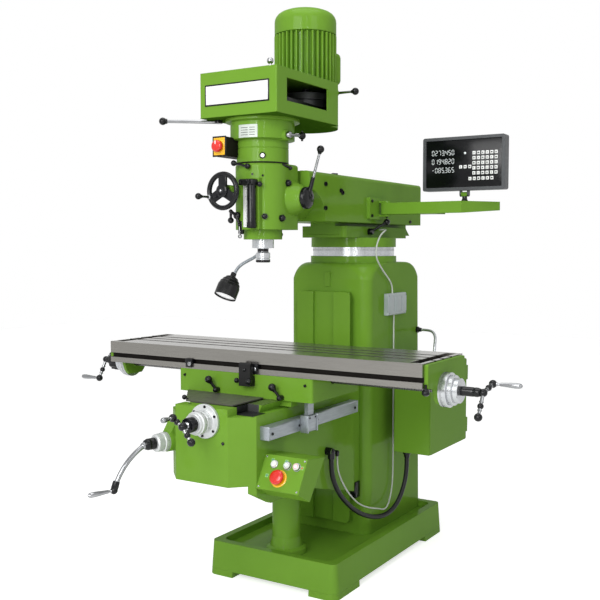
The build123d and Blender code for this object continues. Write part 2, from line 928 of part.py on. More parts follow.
def make_table():
    front, back = table_front, table_y + table_width / 2
    groove_top = table_top - table_slab
    groove_low = groove_top - dog_groove_height
    outline = [
        (front, table_low), (front, groove_low), (front + dog_groove_depth, groove_low),
        (front + dog_groove_depth, groove_top), (front, groove_top), (front, table_top),
        (back, table_top), (back, table_low),
    ]
    half, flare = saddle_tongue_half + slide_gap, saddle_tongue_flare
    roof = saddle_top + saddle_tongue_height + slide_gap
    groove = [
        (table_y + half, table_low), (table_y + half + flare, roof), (table_y - half - flare, roof),
        (table_y - half, table_low),
    ]
    body = prism_x(outline + groove, table_left, table_right)
    for column in range(slot_count):
        y = table_y + (column - (slot_count - 1) / 2) * slot_pitch
        neck_low = table_top - slot_neck_depth
        foot_low = neck_low - slot_foot_height
        slot = [
            (y - slot_neck / 2, table_top), (y - slot_neck / 2, neck_low), (y - slot_foot / 2, neck_low),
            (y - slot_foot / 2, foot_low), (y + slot_foot / 2, foot_low), (y + slot_foot / 2, neck_low),
            (y + slot_neck / 2, neck_low), (y + slot_neck / 2, table_top),
        ]
        body -= prism_x(slot, table_left, table_right)
    for x in (table_left + gutter_wall, table_right - gutter_wall - gutter_width):
        body -= block(
            x, x + gutter_width, front + gutter_wall, back - gutter_wall, table_top - gutter_depth,
            table_top,
        )
    return body


def make_end_brackets():
    front, back = table_y - bracket_half, table_y + bracket_half
    boss_front, boss_back = screw_y - bracket_boss_half, screw_y + bracket_boss_half
    foot = screw_z - bracket_drop
    outline = [
        (front, table_top - 4), (back, table_top - 4), (back, table_low), (boss_back + 12, table_low - 10),
        (boss_back, foot + 16), (boss_back - 16, foot), (boss_front + 16, foot), (boss_front, foot + 16),
        (boss_front - 12, table_low - 10), (front, table_low),
    ]
    plates = []
    for x in (table_left - bracket_thickness, table_right):
        plate = prism_x(outline, x, x + bracket_thickness)
        plate = fillet(plate.edges().filter_by(Axis.X), 6)
        plate -= rod(
            (x - 1, screw_y, screw_z), (x + bracket_thickness + 1, screw_y, screw_z),
            feed_screw_radius + running,
        )
        plates.append(plate)
    return Compound(plates)


def dial_profile():
    """Stepped dial from the bracket outwards, with its bore on the screw."""
    outline = [(feed_screw_radius, slide_gap)]
    reach = slide_gap
    for radius, length in dial_steps:
        outline += [(radius, reach), (radius, reach + length - 2), (radius - 2, reach + length)]
        reach += length
    return outline + [(feed_screw_radius, reach)], reach


def table_screw_ends():
    outline, reach = dial_profile()
    right = table_right + bracket_thickness + reach + table_hub_length
    left = table_left - bracket_thickness - reach - left_hub_length
    return left, right


def make_table_screw():
    outline, reach = dial_profile()
    left, right = table_screw_ends()
    screw = rod((left, screw_y, screw_z), (right, screw_y, screw_z), feed_screw_radius)
    right_dial = turned(outline, (table_right + bracket_thickness, screw_y, screw_z), (1, 0, 0))
    left_dial = turned(outline, (table_left - bracket_thickness, screw_y, screw_z), (-1, 0, 0))
    return Compound([screw, right_dial, left_dial])


def make_table_cranks():
    left, right = table_screw_ends()
    length = table_hub_length
    right_hub = turned([
        (feed_screw_radius, 0), (table_hub_radius, 0), (table_hub_radius, length),
        (table_hub_radius - 4, length + 6),
        (0, length + 6), (0, length), (feed_screw_radius, length),
    ], (right - length, screw_y, screw_z), (1, 0, 0))
    length = left_hub_length
    left_hub = turned([
        (feed_screw_radius, 0), (left_knob_radius, 0), (left_knob_radius, left_knob_length - 4),
        (left_knob_radius - 4, left_knob_length), (table_hub_radius, left_knob_length),
        (table_hub_radius, length),
        (table_hub_radius - 4, length + 6), (0, length + 6), (0, length), (feed_screw_radius, length),
    ], (left + length, screw_y, screw_z), (-1, 0, 0))
    right_centre = (right + ball_radius, screw_y, screw_z)
    left_centre = (left - ball_radius, screw_y, screw_z)
    return Compound([
        ball_crank(right_centre, (1, 0, 0), right_grip_arm, right_weight_arm, right_hub),
        ball_crank(left_centre, (-1, 0, 0), left_grip_arm, left_weight_arm, left_hub),
    ])


# Turret, ram and display

def make_turret_ring():
    return Pos(0, turret_y, ring_low) * extrude(Circle(ring_radius), ring_height)


def tongue_outline(gap):
    """Dovetail of the ram in its guide, with a gap all round."""
    floor = guide_top - tongue_depth - gap
    neck, foot = tongue_neck + gap, tongue_neck + tongue_flare + gap
    return [(-neck, guide_top), (-foot, floor), (foot, floor), (neck, guide_top)]


def make_turret():
    body = Pos(0, turret_y, turret_low) * extrude(Circle(turret_radius), turret_height)
    guide = block(-guide_half, guide_half, guide_front, guide_back, guide_low, guide_top)
    body += fillet(upright_edges(guide), 16)
    body -= prism_y(tongue_outline(slide_gap), guide_front - 1, guide_back + 1)
    outlet = display_route[0]
    body += turned([
        (0, 0), (cable_radius + gland_wall, 0), (cable_radius + 2, outlet[0] - guide_half),
        (0, outlet[0] - guide_half),
    ], (guide_half, outlet[1], outlet[2]), (1, 0, 0))
    return body


def make_ram_lever():
    z = guide_low + guide_height * 0.55
    hub = turned(
        [(0, 0), (13, 0), (13, 16), (8, 20), (0, 20)], (guide_half + seat_gap, ram_lever_y, z), (1, 0, 0),
    )
    start = Vector(guide_half + 12, ram_lever_y, z)
    end = start + Vector(*ram_lever_arm)
    return hub + knobbed(start, end, 5, ball_radius)


def make_ram():
    body = block(-ram_half, ram_half, ram_front, ram_back, ram_low, ram_top)
    body = fillet(body.edges().filter_by(Axis.Y).group_by(Axis.Z)[-1], ram_edge)
    nose = Pos(0, ram_front, ram_low) * Rot(0, 90, 0) * Cylinder(ram_nose_cut, 2 * ram_width)
    body -= nose
    stem = [
        (-tongue_neck, guide_top), (-tongue_neck, ram_low), (tongue_neck, ram_low), (tongue_neck, guide_top),
    ]
    body += prism_y(tongue_outline(0), guide_front, ram_back)
    body += prism_y(stem, guide_front, ram_back)
    nose_end = ram_front + ram_nose_cut
    body += rod((0, ram_front - swivel_length, head_axis_z), (0, nose_end, head_axis_z), swivel_radius)
    plate = block(
        ram_half, ram_half + arm_bracket_thickness, arm_bracket_front,
        arm_bracket_front + arm_bracket_length,
        arm_bracket_low, arm_bracket_high,
    )
    plate = fillet(plate.edges().filter_by(Axis.X), 8)
    pivot_y = arm_front + arm_root_radius
    under, over = arm_low - seat_gap, arm_high + seat_gap
    for low in (under - arm_ear_thickness, over):
        high = low + arm_ear_thickness
        plate += block(ram_half, arm_pivot_x, pivot_y - arm_ear_radius, pivot_y + arm_ear_radius, low, high)
        plate += Pos(arm_pivot_x, pivot_y, low) * extrude(Circle(arm_ear_radius), arm_ear_thickness)
    plate += rod((arm_pivot_x, pivot_y, under - 1), (arm_pivot_x, pivot_y, over + 1), arm_pin_radius)
    return Compound([body, plate])


def make_display_arm():
    pivot_y = arm_front + arm_root_radius
    plan = [
        (arm_pivot_x, arm_front), (arm_corner_x, arm_front), arm_end, arm_back,
        (arm_pivot_x, pivot_y + arm_root_radius),
    ]
    body = prism_z(plan, arm_low, arm_high)
    rise = (arm_high - arm_low) - arm_tip_thickness
    wedge = [
        (arm_front + 1, arm_low), (arm_end[1], arm_low + rise), (arm_end[1] + 40, arm_low + rise),
        (arm_end[1] + 40, arm_low - 1), (arm_front + 1, arm_low - 1),
    ]
    body -= prism_x(wedge, arm_back[0] - 60, arm_end[0] + 1)
    body += Pos(arm_pivot_x, pivot_y, arm_low) * extrude(Circle(arm_root_radius), arm_high - arm_low)
    body -= rod(
        (arm_pivot_x, pivot_y, arm_low - 1), (arm_pivot_x, pivot_y, arm_high + 1), arm_pin_radius + running,
    )
    body += rod((display_x, display_y, arm_high - 1), (display_x, display_y, yoke_z), yoke_radius)
    body += rod((display_x - 12, display_y, yoke_z), (display_x + 12, display_y, yoke_z), yoke_radius)
    return body - rod(
        (display_x - 13, display_y, yoke_z), (display_x + 13, display_y, yoke_z), yoke_radius / 2,
    )


def make_display():
    half = display_width / 2
    y0, y1 = display_y - display_depth / 2, display_y + display_depth / 2
    case = block(display_x - half, display_x + half, y0, y1, display_low, display_low + display_height)
    case = fillet(case.edges().filter_by(Axis.Y), display_corner)
    rim = 12
    case -= block(
        display_x - half + rim, display_x + half - rim, y0 - 1, y0 + 5, display_low + rim,
        display_low + display_height - rim,
    )
    for hand in (-1, 1):
        near = display_x + hand * (12 + seat_gap)
        far = display_x + hand * 18
        ear = block(min(near, far), max(near, far), display_y - 9, display_y + 9, yoke_z, display_low)
        case += ear + rod((near, display_y, yoke_z), (far, display_y, yoke_z), yoke_radius)
    pin = yoke_radius / 2 - running
    return case + rod((display_x - 18, display_y, yoke_z), (display_x + 18, display_y, yoke_z), pin)


# Head

def make_quill_housing():
    low, high = housing_low, housing_high
    front = Pos(0, spindle_y, low) * extrude(Circle(housing_half), high - low)
    front -= block(-housing_half, housing_half, housing_back, spindle_y + housing_half, low, high)
    rear = block(-housing_half, housing_half, spindle_y, housing_back, low, high)
    body = fillet((front + rear).faces().sort_by(Axis.Z)[-1].edges(), 10)
    body += Pos(0, spindle_y, quill_flange_low) * extrude(
        Circle(quill_flange_radius), low - quill_flange_low,
    )
    flange_back = ram_front - swivel_length - seat_gap
    body += rod((0, housing_back, head_axis_z), (0, flange_back, head_axis_z), head_flange_radius)
    body += rod((0, pinion_y, pinion_z), (lever_boss_end, pinion_y, pinion_z), lever_boss_radius)
    wheel_root = (wheel_x, spindle_y, wheel_z)
    body += rod(wheel_root, (wheel_x, wheel_boss_end, wheel_z), wheel_boss_radius)
    pad_left = -depth_scale_width / 2 - 8
    pad_right = depth_stop_x + depth_stop_radius + 4
    body += block(pad_left, pad_right, stop_pad_front, spindle_y, depth_stop_low - 4, depth_stop_high + 4)
    body -= rod((0, spindle_y, quill_flange_low - 1), (0, spindle_y, high + 1), quill_radius + running)
    body -= rod((0, pinion_y, pinion_z), (lever_boss_end + 1, pinion_y, pinion_z), pinion_radius + running)
    body -= rod(
        (wheel_x, wheel_boss_end + 50, wheel_z), (wheel_x, wheel_boss_end - 1, wheel_z),
        wheel_shaft_radius + running,
    )
    pivot = (feed_lever_x, spindle_y - housing_half + 24, feed_lever_z)
    body -= rod(pivot, (feed_lever_x, spindle_y - housing_half - 20, feed_lever_z), 4 + running)
    return body


def make_gear_case():
    bore = sleeve_radius + running
    body = turned([
        (bore, housing_high), (gear_ring_radius - 4, housing_high), (gear_ring_radius, housing_high + 4),
        (gear_ring_radius, housing_high + 50), (gear_ring_radius - 2, housing_high + 52),
        (gear_ring_radius, housing_high + 54), (gear_ring_radius, gear_ring_high),
        (gear_drum_radius, gear_ring_high + 3), (gear_drum_radius, gear_drum_high),
        (gear_cap_radius, gear_drum_high + 3), (gear_cap_radius, belt_box_low), (bore, belt_box_low),
    ], (0, spindle_y, 0))
    reach = gear_drum_radius + 6
    body += rod((0, back_gear_y, back_gear_z), (reach, back_gear_y, back_gear_z), 18)
    body -= Pos(0, spindle_y, housing_high - 1) * extrude(Circle(bore), belt_box_low - housing_high + 2)
    return body - rod(
        (reach - 30, back_gear_y, back_gear_z), (reach + 1, back_gear_y, back_gear_z), 5 + running,
    )


def belt_box_plan(inset):
    middle = (belt_box_front + belt_box_back) / 2
    size_x, size_y = belt_box_width - 2 * inset, belt_box_length - 2 * inset
    front = Pos(0, middle) * RectangleRounded(size_x, size_y, belt_box_corner - inset / 2)
    return front + Pos(0, motor_y) * Circle(belt_box_tail_radius - inset)


def make_belt_housing():
    shell = Pos(0, 0, belt_box_low) * extrude(belt_box_plan(0), belt_box_height)
    inner_height = belt_box_height - 2 * belt_box_wall
    shell -= Pos(0, 0, belt_box_low + belt_box_wall) * extrude(belt_box_plan(belt_box_wall), inner_height)
    shell -= block(
        belt_box_half - belt_box_wall - 1, belt_box_half + 1, window_front, window_front + window_length,
        window_low, window_low + window_height,
    )
    shell -= rod((0, spindle_y, belt_box_low - 1), (0, spindle_y, pulley_low), sleeve_radius + 1)
    shell -= rod((0, motor_y, belt_box_top - 10), (0, motor_y, belt_box_top + 1), motor_shaft_radius + 4)
    pivot_x, pivot_y = brake_pivot
    shell -= rod((pivot_x, pivot_y, belt_box_low - 1), (pivot_x, pivot_y, belt_box_low + 8), 6 + running)
    boss_back = belt_box_back + 14
    shell += rod(
        (speed_lever_x, belt_box_back - belt_box_wall, speed_lever_z),
        (speed_lever_x, boss_back, speed_lever_z), 14,
    )
    shell -= rod(
        (speed_lever_x, belt_box_back - belt_box_wall - 1, speed_lever_z),
        (speed_lever_x, boss_back + 1, speed_lever_z),
        5 + running,
    )
    return shell


def make_motor():
    low = belt_box_top
    core = turned([
        (motor_shaft_radius + running, 0), (motor_fin_radius, 0), (motor_fin_radius, motor_collar_height),
        (motor_core_radius, motor_collar_height + 4),
        (motor_core_radius, motor_body_height - motor_collar_height),
        (motor_fin_radius - 3, motor_body_height - motor_collar_height + 2),
        (motor_fin_radius - 3, motor_body_height),
        (0, motor_body_height), (0, motor_body_height - motor_bore_end),
        (motor_shaft_radius + running, motor_body_height - motor_bore_end),
    ], (0, motor_y, low))
    fin_low, fin_high = low + motor_collar_height, low + motor_body_height - motor_collar_height + 1
    fin = block(
        motor_core_radius - 2, motor_fin_radius, -motor_fin_thickness / 2, motor_fin_thickness / 2,
        fin_low, fin_high,
    )
    fins = [Pos(0, motor_y, 0) * Rot(0, 0, 360 * n / motor_fin_count) * fin for n in range(motor_fin_count)]
    body = core + fins
    terminal = block(
        motor_core_radius - 20, terminal_reach, motor_y - terminal_width / 2, motor_y + terminal_width / 2,
        terminal_low, terminal_low + terminal_height,
    )
    body += fillet(terminal.edges().filter_by(Axis.X), 8)
    edge = fan_cover_height - fan_cover_dome
    cover = turned([
        (0, 0), (fan_cover_radius, 0), (fan_cover_radius, edge),
        (fan_cover_radius - 6, edge + fan_cover_dome * 0.45),
        (fan_cover_radius * 0.8, edge + fan_cover_dome * 0.8),
        (fan_cover_radius * 0.45, edge + fan_cover_dome),
        (0, edge + fan_cover_dome),
    ], (0, motor_y, motor_top))
    return Compound([body, cover])


def step_profile(steps, bore):
    """Stepped pulley from its lowest step up, with a rim at each step."""
    outline = [(bore, pulley_low)]
    height = pulley_low
    for radius in steps:
        outline += [
            (radius + 4, height), (radius + 4, height + 3),
            (radius, height + 3), (radius, height + pulley_step),
        ]
        height += pulley_step
    return outline + [(bore, height)]


def make_spindle_pulley():
    pulley = turned(step_profile(spindle_steps, spindle_radius + running), (0, spindle_y, 0))
    sleeve_low = housing_high + 8
    return pulley + turned([
        (spindle_radius + running, sleeve_low), (sleeve_radius, sleeve_low),
        (sleeve_radius, pulley_low + 1),
        (spindle_radius + running, pulley_low + 1),
    ], (0, spindle_y, 0))


def make_motor_pulley():
    pulley = turned(step_profile(motor_steps, 0), (0, motor_y, 0))
    top = motor_top - motor_bore_end - slide_gap
    return pulley + rod((0, motor_y, pulley_low), (0, motor_y, top), motor_shaft_radius)


def make_belt():
    small, large = motor_steps[belt_step] + seat_gap, spindle_steps[belt_step] + seat_gap

    def loop(extra):
        circles = Pos(0, motor_y) * Circle(small + extra) + Pos(0, spindle_y) * Circle(large + extra)
        return make_hull(circles.edges())

    low = pulley_low + belt_step * pulley_step + 5
    return Pos(0, 0, low) * extrude(loop(belt_thickness) - loop(0), belt_height)


def make_quill():
    inner = spindle_radius + bearing_wall
    return turned([
        (inner + running, quill_low), (quill_radius, quill_low), (quill_radius, quill_high),
        (inner + running, quill_high),
    ], (0, spindle_y, 0))


def make_spindle():
    journal = spindle_radius + bearing_wall
    return turned([
        (spindle_bore, nose_low), (nose_radius - 2, nose_low), (nose_radius, nose_low + 2),
        (nose_radius, nose_low + 12),
        (nose_radius - 2, nose_low + 13), (nose_radius - 2, nose_low + 15), (nose_radius, nose_low + 16),
        (nose_radius, nose_shoulder - 3), (nose_neck_radius, nose_shoulder),
        (nose_neck_radius, quill_low - 2),
        (journal, quill_low - 2), (journal, quill_low + lower_bearing),
        (spindle_radius, quill_low + lower_bearing + 2),
        (spindle_radius, quill_high - upper_bearing - 2), (journal, quill_high - upper_bearing),
        (journal, quill_high),
        (spindle_radius, quill_high + 2), (spindle_radius, spindle_high - 14),
        (drawbar_radius, spindle_high - 14),
        (drawbar_radius, spindle_high), (0, spindle_high), (0, nose_low + spindle_bore_depth),
        (spindle_bore, nose_low + spindle_bore_depth),
    ], (0, spindle_y, 0))


def make_quill_lever():
    start = lever_boss_end + slide_gap
    hub = turned([
        (0, 0), (lever_hub_radius, 0), (lever_hub_radius, lever_hub_length * 0.6),
        (lever_hub_radius * 0.7, lever_hub_length), (0, lever_hub_length),
    ], (start, pinion_y, pinion_z), (1, 0, 0))
    shaft = rod((8, pinion_y, pinion_z), (start + 1, pinion_y, pinion_z), pinion_radius)
    root = (start + lever_hub_length * 0.55, pinion_y, pinion_z)
    return hub + shaft + knobbed(root, lever_ball, lever_rod_radius, ball_radius)


def make_fine_wheel():
    half = wheel_thickness / 2
    plane = Plane(origin=(wheel_x, wheel_y, wheel_z), z_dir=(0, -1, 0))
    disc = Circle(wheel_radius) - Circle(wheel_radius - wheel_rim)
    rim = fillet(extrude(disc, half, both=True).edges().filter_by(GeomType.CIRCLE), 4)
    body = rim + extrude(Circle(wheel_hub_radius), half + 3, both=True)
    for turn in (90, 210, 330):
        spoke = Rot(0, 0, turn) * Pos(wheel_radius / 2, 0) * Rectangle(wheel_radius - wheel_rim, 24)
        body += extrude(spoke, half - 2, both=True)
    body = plane * body
    shaft_end = wheel_boss_end + 48
    body += rod((wheel_x, wheel_y, wheel_z), (wheel_x, shaft_end, wheel_z), wheel_shaft_radius)
    knob_x = wheel_x - (wheel_radius - wheel_rim / 2 - 3) * math.cos(math.radians(20))
    knob_z = wheel_z - (wheel_radius - wheel_rim / 2 - 3) * math.sin(math.radians(20))
    knob_end = wheel_y - half - 58
    return body + knobbed((knob_x, wheel_y, knob_z), (knob_x, knob_end, knob_z), 4, small_ball_radius + 1)


def make_depth_stop():
    back = stop_pad_front
    axis_y = back - depth_stop_radius - 2
    height = depth_stop_high - depth_stop_low
    tube = Pos(depth_stop_x, axis_y, depth_stop_low) * extrude(Circle(depth_stop_radius), height)
    x0, x1 = depth_stop_x - depth_stop_radius * 0.7, depth_stop_x + depth_stop_radius * 0.7
    for z in (depth_stop_low, depth_stop_high - 24):
        tube += block(x0, x1, axis_y, back, z, z + 24)
    half = depth_scale_width / 2
    scale = block(
        -half, half - 4, back - depth_scale_thickness, back, depth_stop_low + 4, depth_stop_high - 4,
    )
    return Compound([tube, scale])


def make_brake_lever():
    x, y = brake_pivot
    top = belt_box_low - seat_gap
    hub = turned([(0, 0), (14, 0), (14, 12), (6, 12), (6, 19), (0, 19)], (x, y, top - 12), (0, 0, 1))
    end = (brake_ball[0], brake_ball[1], top - 6)
    return hub + knobbed((x, y, top - 6), end, 4.5, ball_radius)


def make_back_gear_lever():
    face = gear_drum_radius + 6 + seat_gap
    hub = turned(
        [(0, -28), (5, -28), (5, 0), (12, 0), (12, 12), (0, 12)], (face, back_gear_y, back_gear_z),
        (1, 0, 0),
    )
    end = (face + 8, back_gear_y + back_gear_reach, back_gear_z + 4)
    return hub + knobbed((face + 7, back_gear_y, back_gear_z), end, 4, ball_radius)


def make_speed_lever():
    face = belt_box_back + 14 + seat_gap
    outline = [(0, -18), (5, -18), (5, 0), (11, 0), (11, 12), (0, 12)]
    hub = turned(outline, (speed_lever_x, face, speed_lever_z), (0, 1, 0))
    end = (speed_lever_x + speed_lever_reach, face + 6, speed_lever_z)
    return hub + knobbed((speed_lever_x, face + 6, speed_lever_z), end, 4, ball_radius)


def make_feed_lever():
    face = spindle_y - housing_half - 8
    hub = turned(
        [(0, -24), (4, -24), (4, 0), (9, 0), (9, 10), (0, 10)], (feed_lever_x, face, feed_lever_z),
        (0, -1, 0),
    )
    end = (feed_lever_x - feed_lever_reach, face - 7, feed_lever_z + 12)
    return hub + knobbed((feed_lever_x, face - 6, feed_lever_z), end, 3.5, small_ball_radius)


def make_switch_box():
    box = block(switch_left, switch_right, switch_front, spindle_y - 20, switch_low, switch_high)
    box = fillet(box.edges().filter_by(Axis.Y), 6)
    box -= Pos(0, spindle_y, switch_low - 1) * extrude(
        Circle(gear_ring_radius + seat_gap), switch_high - switch_low + 2,
    )
    drum = Circle(gear_drum_radius + seat_gap)
    box -= Pos(0, spindle_y, gear_ring_high - seat_gap) * extrude(drum, switch_high - gear_ring_high + 1)
    middle_x, middle_z = (switch_left + switch_right) / 2, (switch_low + switch_high) / 2
    return box - rod(
        (middle_x, switch_front - 1, middle_z), (middle_x, switch_front + 20, middle_z), 4 + running,
    )


def make_switch_knob():
    middle_x, middle_z = (switch_left + switch_right) / 2, (switch_low + switch_high) / 2
    knob = turned([
        (0, -18), (4, -18), (4, 0), (switch_knob_radius, 0), (switch_knob_radius, 10),
        (switch_knob_radius - 4, 14),
        (0, 14),
    ], (middle_x, switch_front - seat_gap, middle_z), (0, -1, 0))
    front = switch_front - switch_knob_length
    return knob + block(middle_x - 4, middle_x + 4, front, switch_front - 10, middle_z - 14, middle_z + 14)


def make_lamp():
    x, y = lamp_foot
    foot = turned([
        (0, 0), (lamp_foot_radius, 0), (lamp_foot_radius, 8), (neck_radius + 2, 16), (0, 16),
    ], (x, y, housing_low), (0, 0, -1))
    neck = cord(lamp_route, neck_radius)
    way = Vector(*lamp_lens) - Vector(*lamp_crown)
    depth, wide = way.length, lamp_head_radius
    head = turned([
        (0, -5), (9, -5), (9, 8), (wide * 0.55, 15), (wide * 0.85, 28), (wide, 46), (wide, depth),
        (wide - 4, depth), (wide - 4, depth - 8), (0, depth - 8),
    ], lamp_crown, way.normalized())
    return foot + neck + head


# Electrical cabinet, junction box and cords

def make_cabinet():
    shell = block(cabinet_left, cabinet_right, cabinet_front, cabinet_back, cabinet_low, cabinet_top)
    wall = cabinet_wall
    shell -= block(
        cabinet_left + wall, cabinet_right + 1, cabinet_front + wall, cabinet_back - wall,
        cabinet_low + wall, cabinet_top - wall,
    )
    for low in (cabinet_low + stand_height, cabinet_top - 2 * stand_height):
        shell += block(
            column_half, cabinet_left, stand_front, stand_front + stand_length, low, low + stand_height,
        )
    for middle in hinge_heights():
        low = middle - hinge_length
        x, y = hinge_axis()
        shell += block(
            x - hinge_radius, x + hinge_radius, cabinet_back, y + hinge_radius, low, low + hinge_length / 2,
        )
        shell += rod((x, y, low), (x, y, middle + hinge_length / 2), hinge_pin_radius)
    return shell


def hinge_axis():
    return cabinet_right + door_thickness / 2 - 4, cabinet_back + hinge_radius + 2


def hinge_heights():
    return cabinet_low + 70, cabinet_top - 50


def make_cabinet_door():
    x0 = cabinet_right + slide_gap
    plate = block(
        x0, x0 + door_thickness, cabinet_front, cabinet_back - 2, cabinet_low + 1, cabinet_top - 1,
    )
    plate = fillet(plate.edges().filter_by(Axis.X), 6)
    x, y = hinge_axis()
    for middle in hinge_heights():
        low, high = middle - hinge_length / 2 + slide_gap, middle + hinge_length / 2
        plate += block(x0, x0 + door_thickness, cabinet_back - 30, y + hinge_radius, low, high)
        plate += Pos(x, y, low) * extrude(Circle(hinge_radius), high - low)
        plate += block(x, x0 + door_thickness, y, y + hinge_radius, low, high)
        plate -= rod((x, y, low - 1), (x, y, high + 1), hinge_pin_radius + running)
    return plate


def make_junction_box():
    box = block(
        column_half, column_half + junction_thickness, junction_front, junction_front + junction_length,
        junction_low, junction_low + junction_height,
    )
    return chamfer(box.faces().sort_by(Axis.X)[-1].edges(), 5)


def gland(foot, tip, radius):
    """Cable gland from the wall it is screwed into to the cord's first point."""
    foot, tip = Vector(*foot), Vector(*tip)
    length = (tip - foot).length
    return turned([
        (0, 0), (radius + gland_wall + 3, 0), (radius + gland_wall + 3, length * 0.4),
        (radius + gland_wall, length * 0.45),
        (radius + 2, length), (0, length),
    ], foot, (tip - foot).normalized())


def make_glands():
    start, end = conduit_route[0], conduit_route[-1]
    hose_end = hose_route[-1]
    return Compound([
        gland((column_half, start[1], start[2]), start, conduit_radius),
        gland((end[0], end[1], cabinet_top), end, conduit_radius),
        gland((hose_end[0], hose_end[1], cabinet_low), hose_end, hose_radius),
    ])


nodes = {
    "base": make_base(),
    "base_feet": make_base_feet(),
    "column": make_column(),
    "elevating_pedestal": make_pedestal(),
    "junction_box": make_junction_box(),
    "electrical_cabinet": make_cabinet(),
    "cable_glands": make_glands(),
    "cabinet_conduit": cord(conduit_route, conduit_radius),
    "control_hose": cord(hose_route, hose_radius),
    "display_cable": cord(display_route, cable_radius),
    "scale_cable": cord(scale_route, cable_radius),
    "cabinet_door": make_cabinet_door(),
    "knee": make_knee(),
    "linear_scale": make_linear_scale(),
    "control_box": make_control_box(),
    "cross_screw_flange": make_cross_flange(),
    "cross_screw": make_cross_screw(),
    "cross_crank": make_cross_crank(),
    "knee_crank_shaft": make_crank_shaft(),
    "knee_crank": make_knee_crank(),
    "elevating_screw": make_elevating_screw(),
    "emergency_stop": make_stop_button(),
    "start_button": make_push_button(start_x),
    "stop_button": make_push_button(halt_x),
    "saddle": make_saddle(),
    "way_cover": make_way_cover(),
    "scale_reader": make_scale_reader(),
    "table_stop_block": make_stop_block(),
    "feed_nuts": make_feed_nuts(),
    "saddle_clamp_left": make_saddle_clamp(clamp_left),
    "saddle_clamp_right": make_saddle_clamp(clamp_right),
    "table": make_table(),
    "table_end_brackets": make_end_brackets(),
    "table_screw": make_table_screw(),
    "table_cranks": make_table_cranks(),
    "turret": make_turret(),
    "turret_scale_ring": make_turret_ring(),
    "ram_clamp_lever": make_ram_lever(),
    "ram": make_ram(),
    "display_arm": make_display_arm(),
    "display": make_display(),
    "quill_housing": make_quill_housing(),
    "gear_case": make_gear_case(),
    "belt_housing": make_belt_housing(),
    "motor": make_motor(),
    "drive_belt": make_belt(),
    "switch_box": make_switch_box(),
    "depth_stop": make_depth_stop(),
    "work_lamp": make_lamp(),
    "quill": make_quill(),
    "spindle": make_spindle(),
    "spindle_pulley": make_spindle_pulley(),
    "motor_pulley": make_motor_pulley(),
    "quill_lever": make_quill_lever(),
    "fine_feed_wheel": make_fine_wheel(),
    "brake_lever": make_brake_lever(),
    "back_gear_lever": make_back_gear_lever(),
    "speed_lever": make_speed_lever(),
    "feed_lever": make_feed_lever(),
    "switch_knob": make_switch_knob(),
}

os.makedirs("parts", exist_ok=True)
for name, shape in nodes.items():
    export_step(shape, f"parts/{name}.step")
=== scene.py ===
import json
import math

import bmesh
import bpy
from mathutils import Matrix, Vector


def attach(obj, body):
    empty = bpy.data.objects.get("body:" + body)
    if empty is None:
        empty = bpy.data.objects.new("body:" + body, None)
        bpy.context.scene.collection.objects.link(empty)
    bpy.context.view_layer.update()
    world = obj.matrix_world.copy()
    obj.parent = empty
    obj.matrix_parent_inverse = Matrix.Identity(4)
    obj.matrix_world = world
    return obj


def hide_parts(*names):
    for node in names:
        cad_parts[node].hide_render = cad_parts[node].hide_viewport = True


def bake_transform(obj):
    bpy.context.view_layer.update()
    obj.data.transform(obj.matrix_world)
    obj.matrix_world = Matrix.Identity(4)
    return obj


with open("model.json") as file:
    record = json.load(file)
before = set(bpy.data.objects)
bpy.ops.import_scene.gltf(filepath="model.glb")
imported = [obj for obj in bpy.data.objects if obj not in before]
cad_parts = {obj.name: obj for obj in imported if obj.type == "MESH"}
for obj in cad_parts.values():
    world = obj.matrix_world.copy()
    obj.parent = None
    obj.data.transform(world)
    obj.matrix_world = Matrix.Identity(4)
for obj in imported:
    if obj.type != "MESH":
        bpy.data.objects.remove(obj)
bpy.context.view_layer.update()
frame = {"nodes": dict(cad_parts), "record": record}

# Shapes are drawn in millimetres and brought to metres when a piece is finished.
mm = 0.001
front, to_right, to_left, axis_up = (0, -1, 0), (1, 0, 0), (-1, 0, 0), (0, 0, 1)


# Finishes

def tone(red, green, blue):
    """A colour as seen on a screen, in the shader's own scale."""
    scaled = [v / 255 for v in (red, green, blue)]
    return tuple(((v + 0.055) / 1.055) ** 2.4 if v > 0.04 else v / 12.92 for v in scaled) + (1.0,)


def node(tree, kind, **values):
    made = tree.nodes.new("ShaderNode" + kind)
    for key, value in values.items():
        made.inputs[key.replace("_", " ")].default_value = value
    return made


coat_gloss = 0.08
blotch_edges = (0.32, 0.68)
gloss_patches = 7


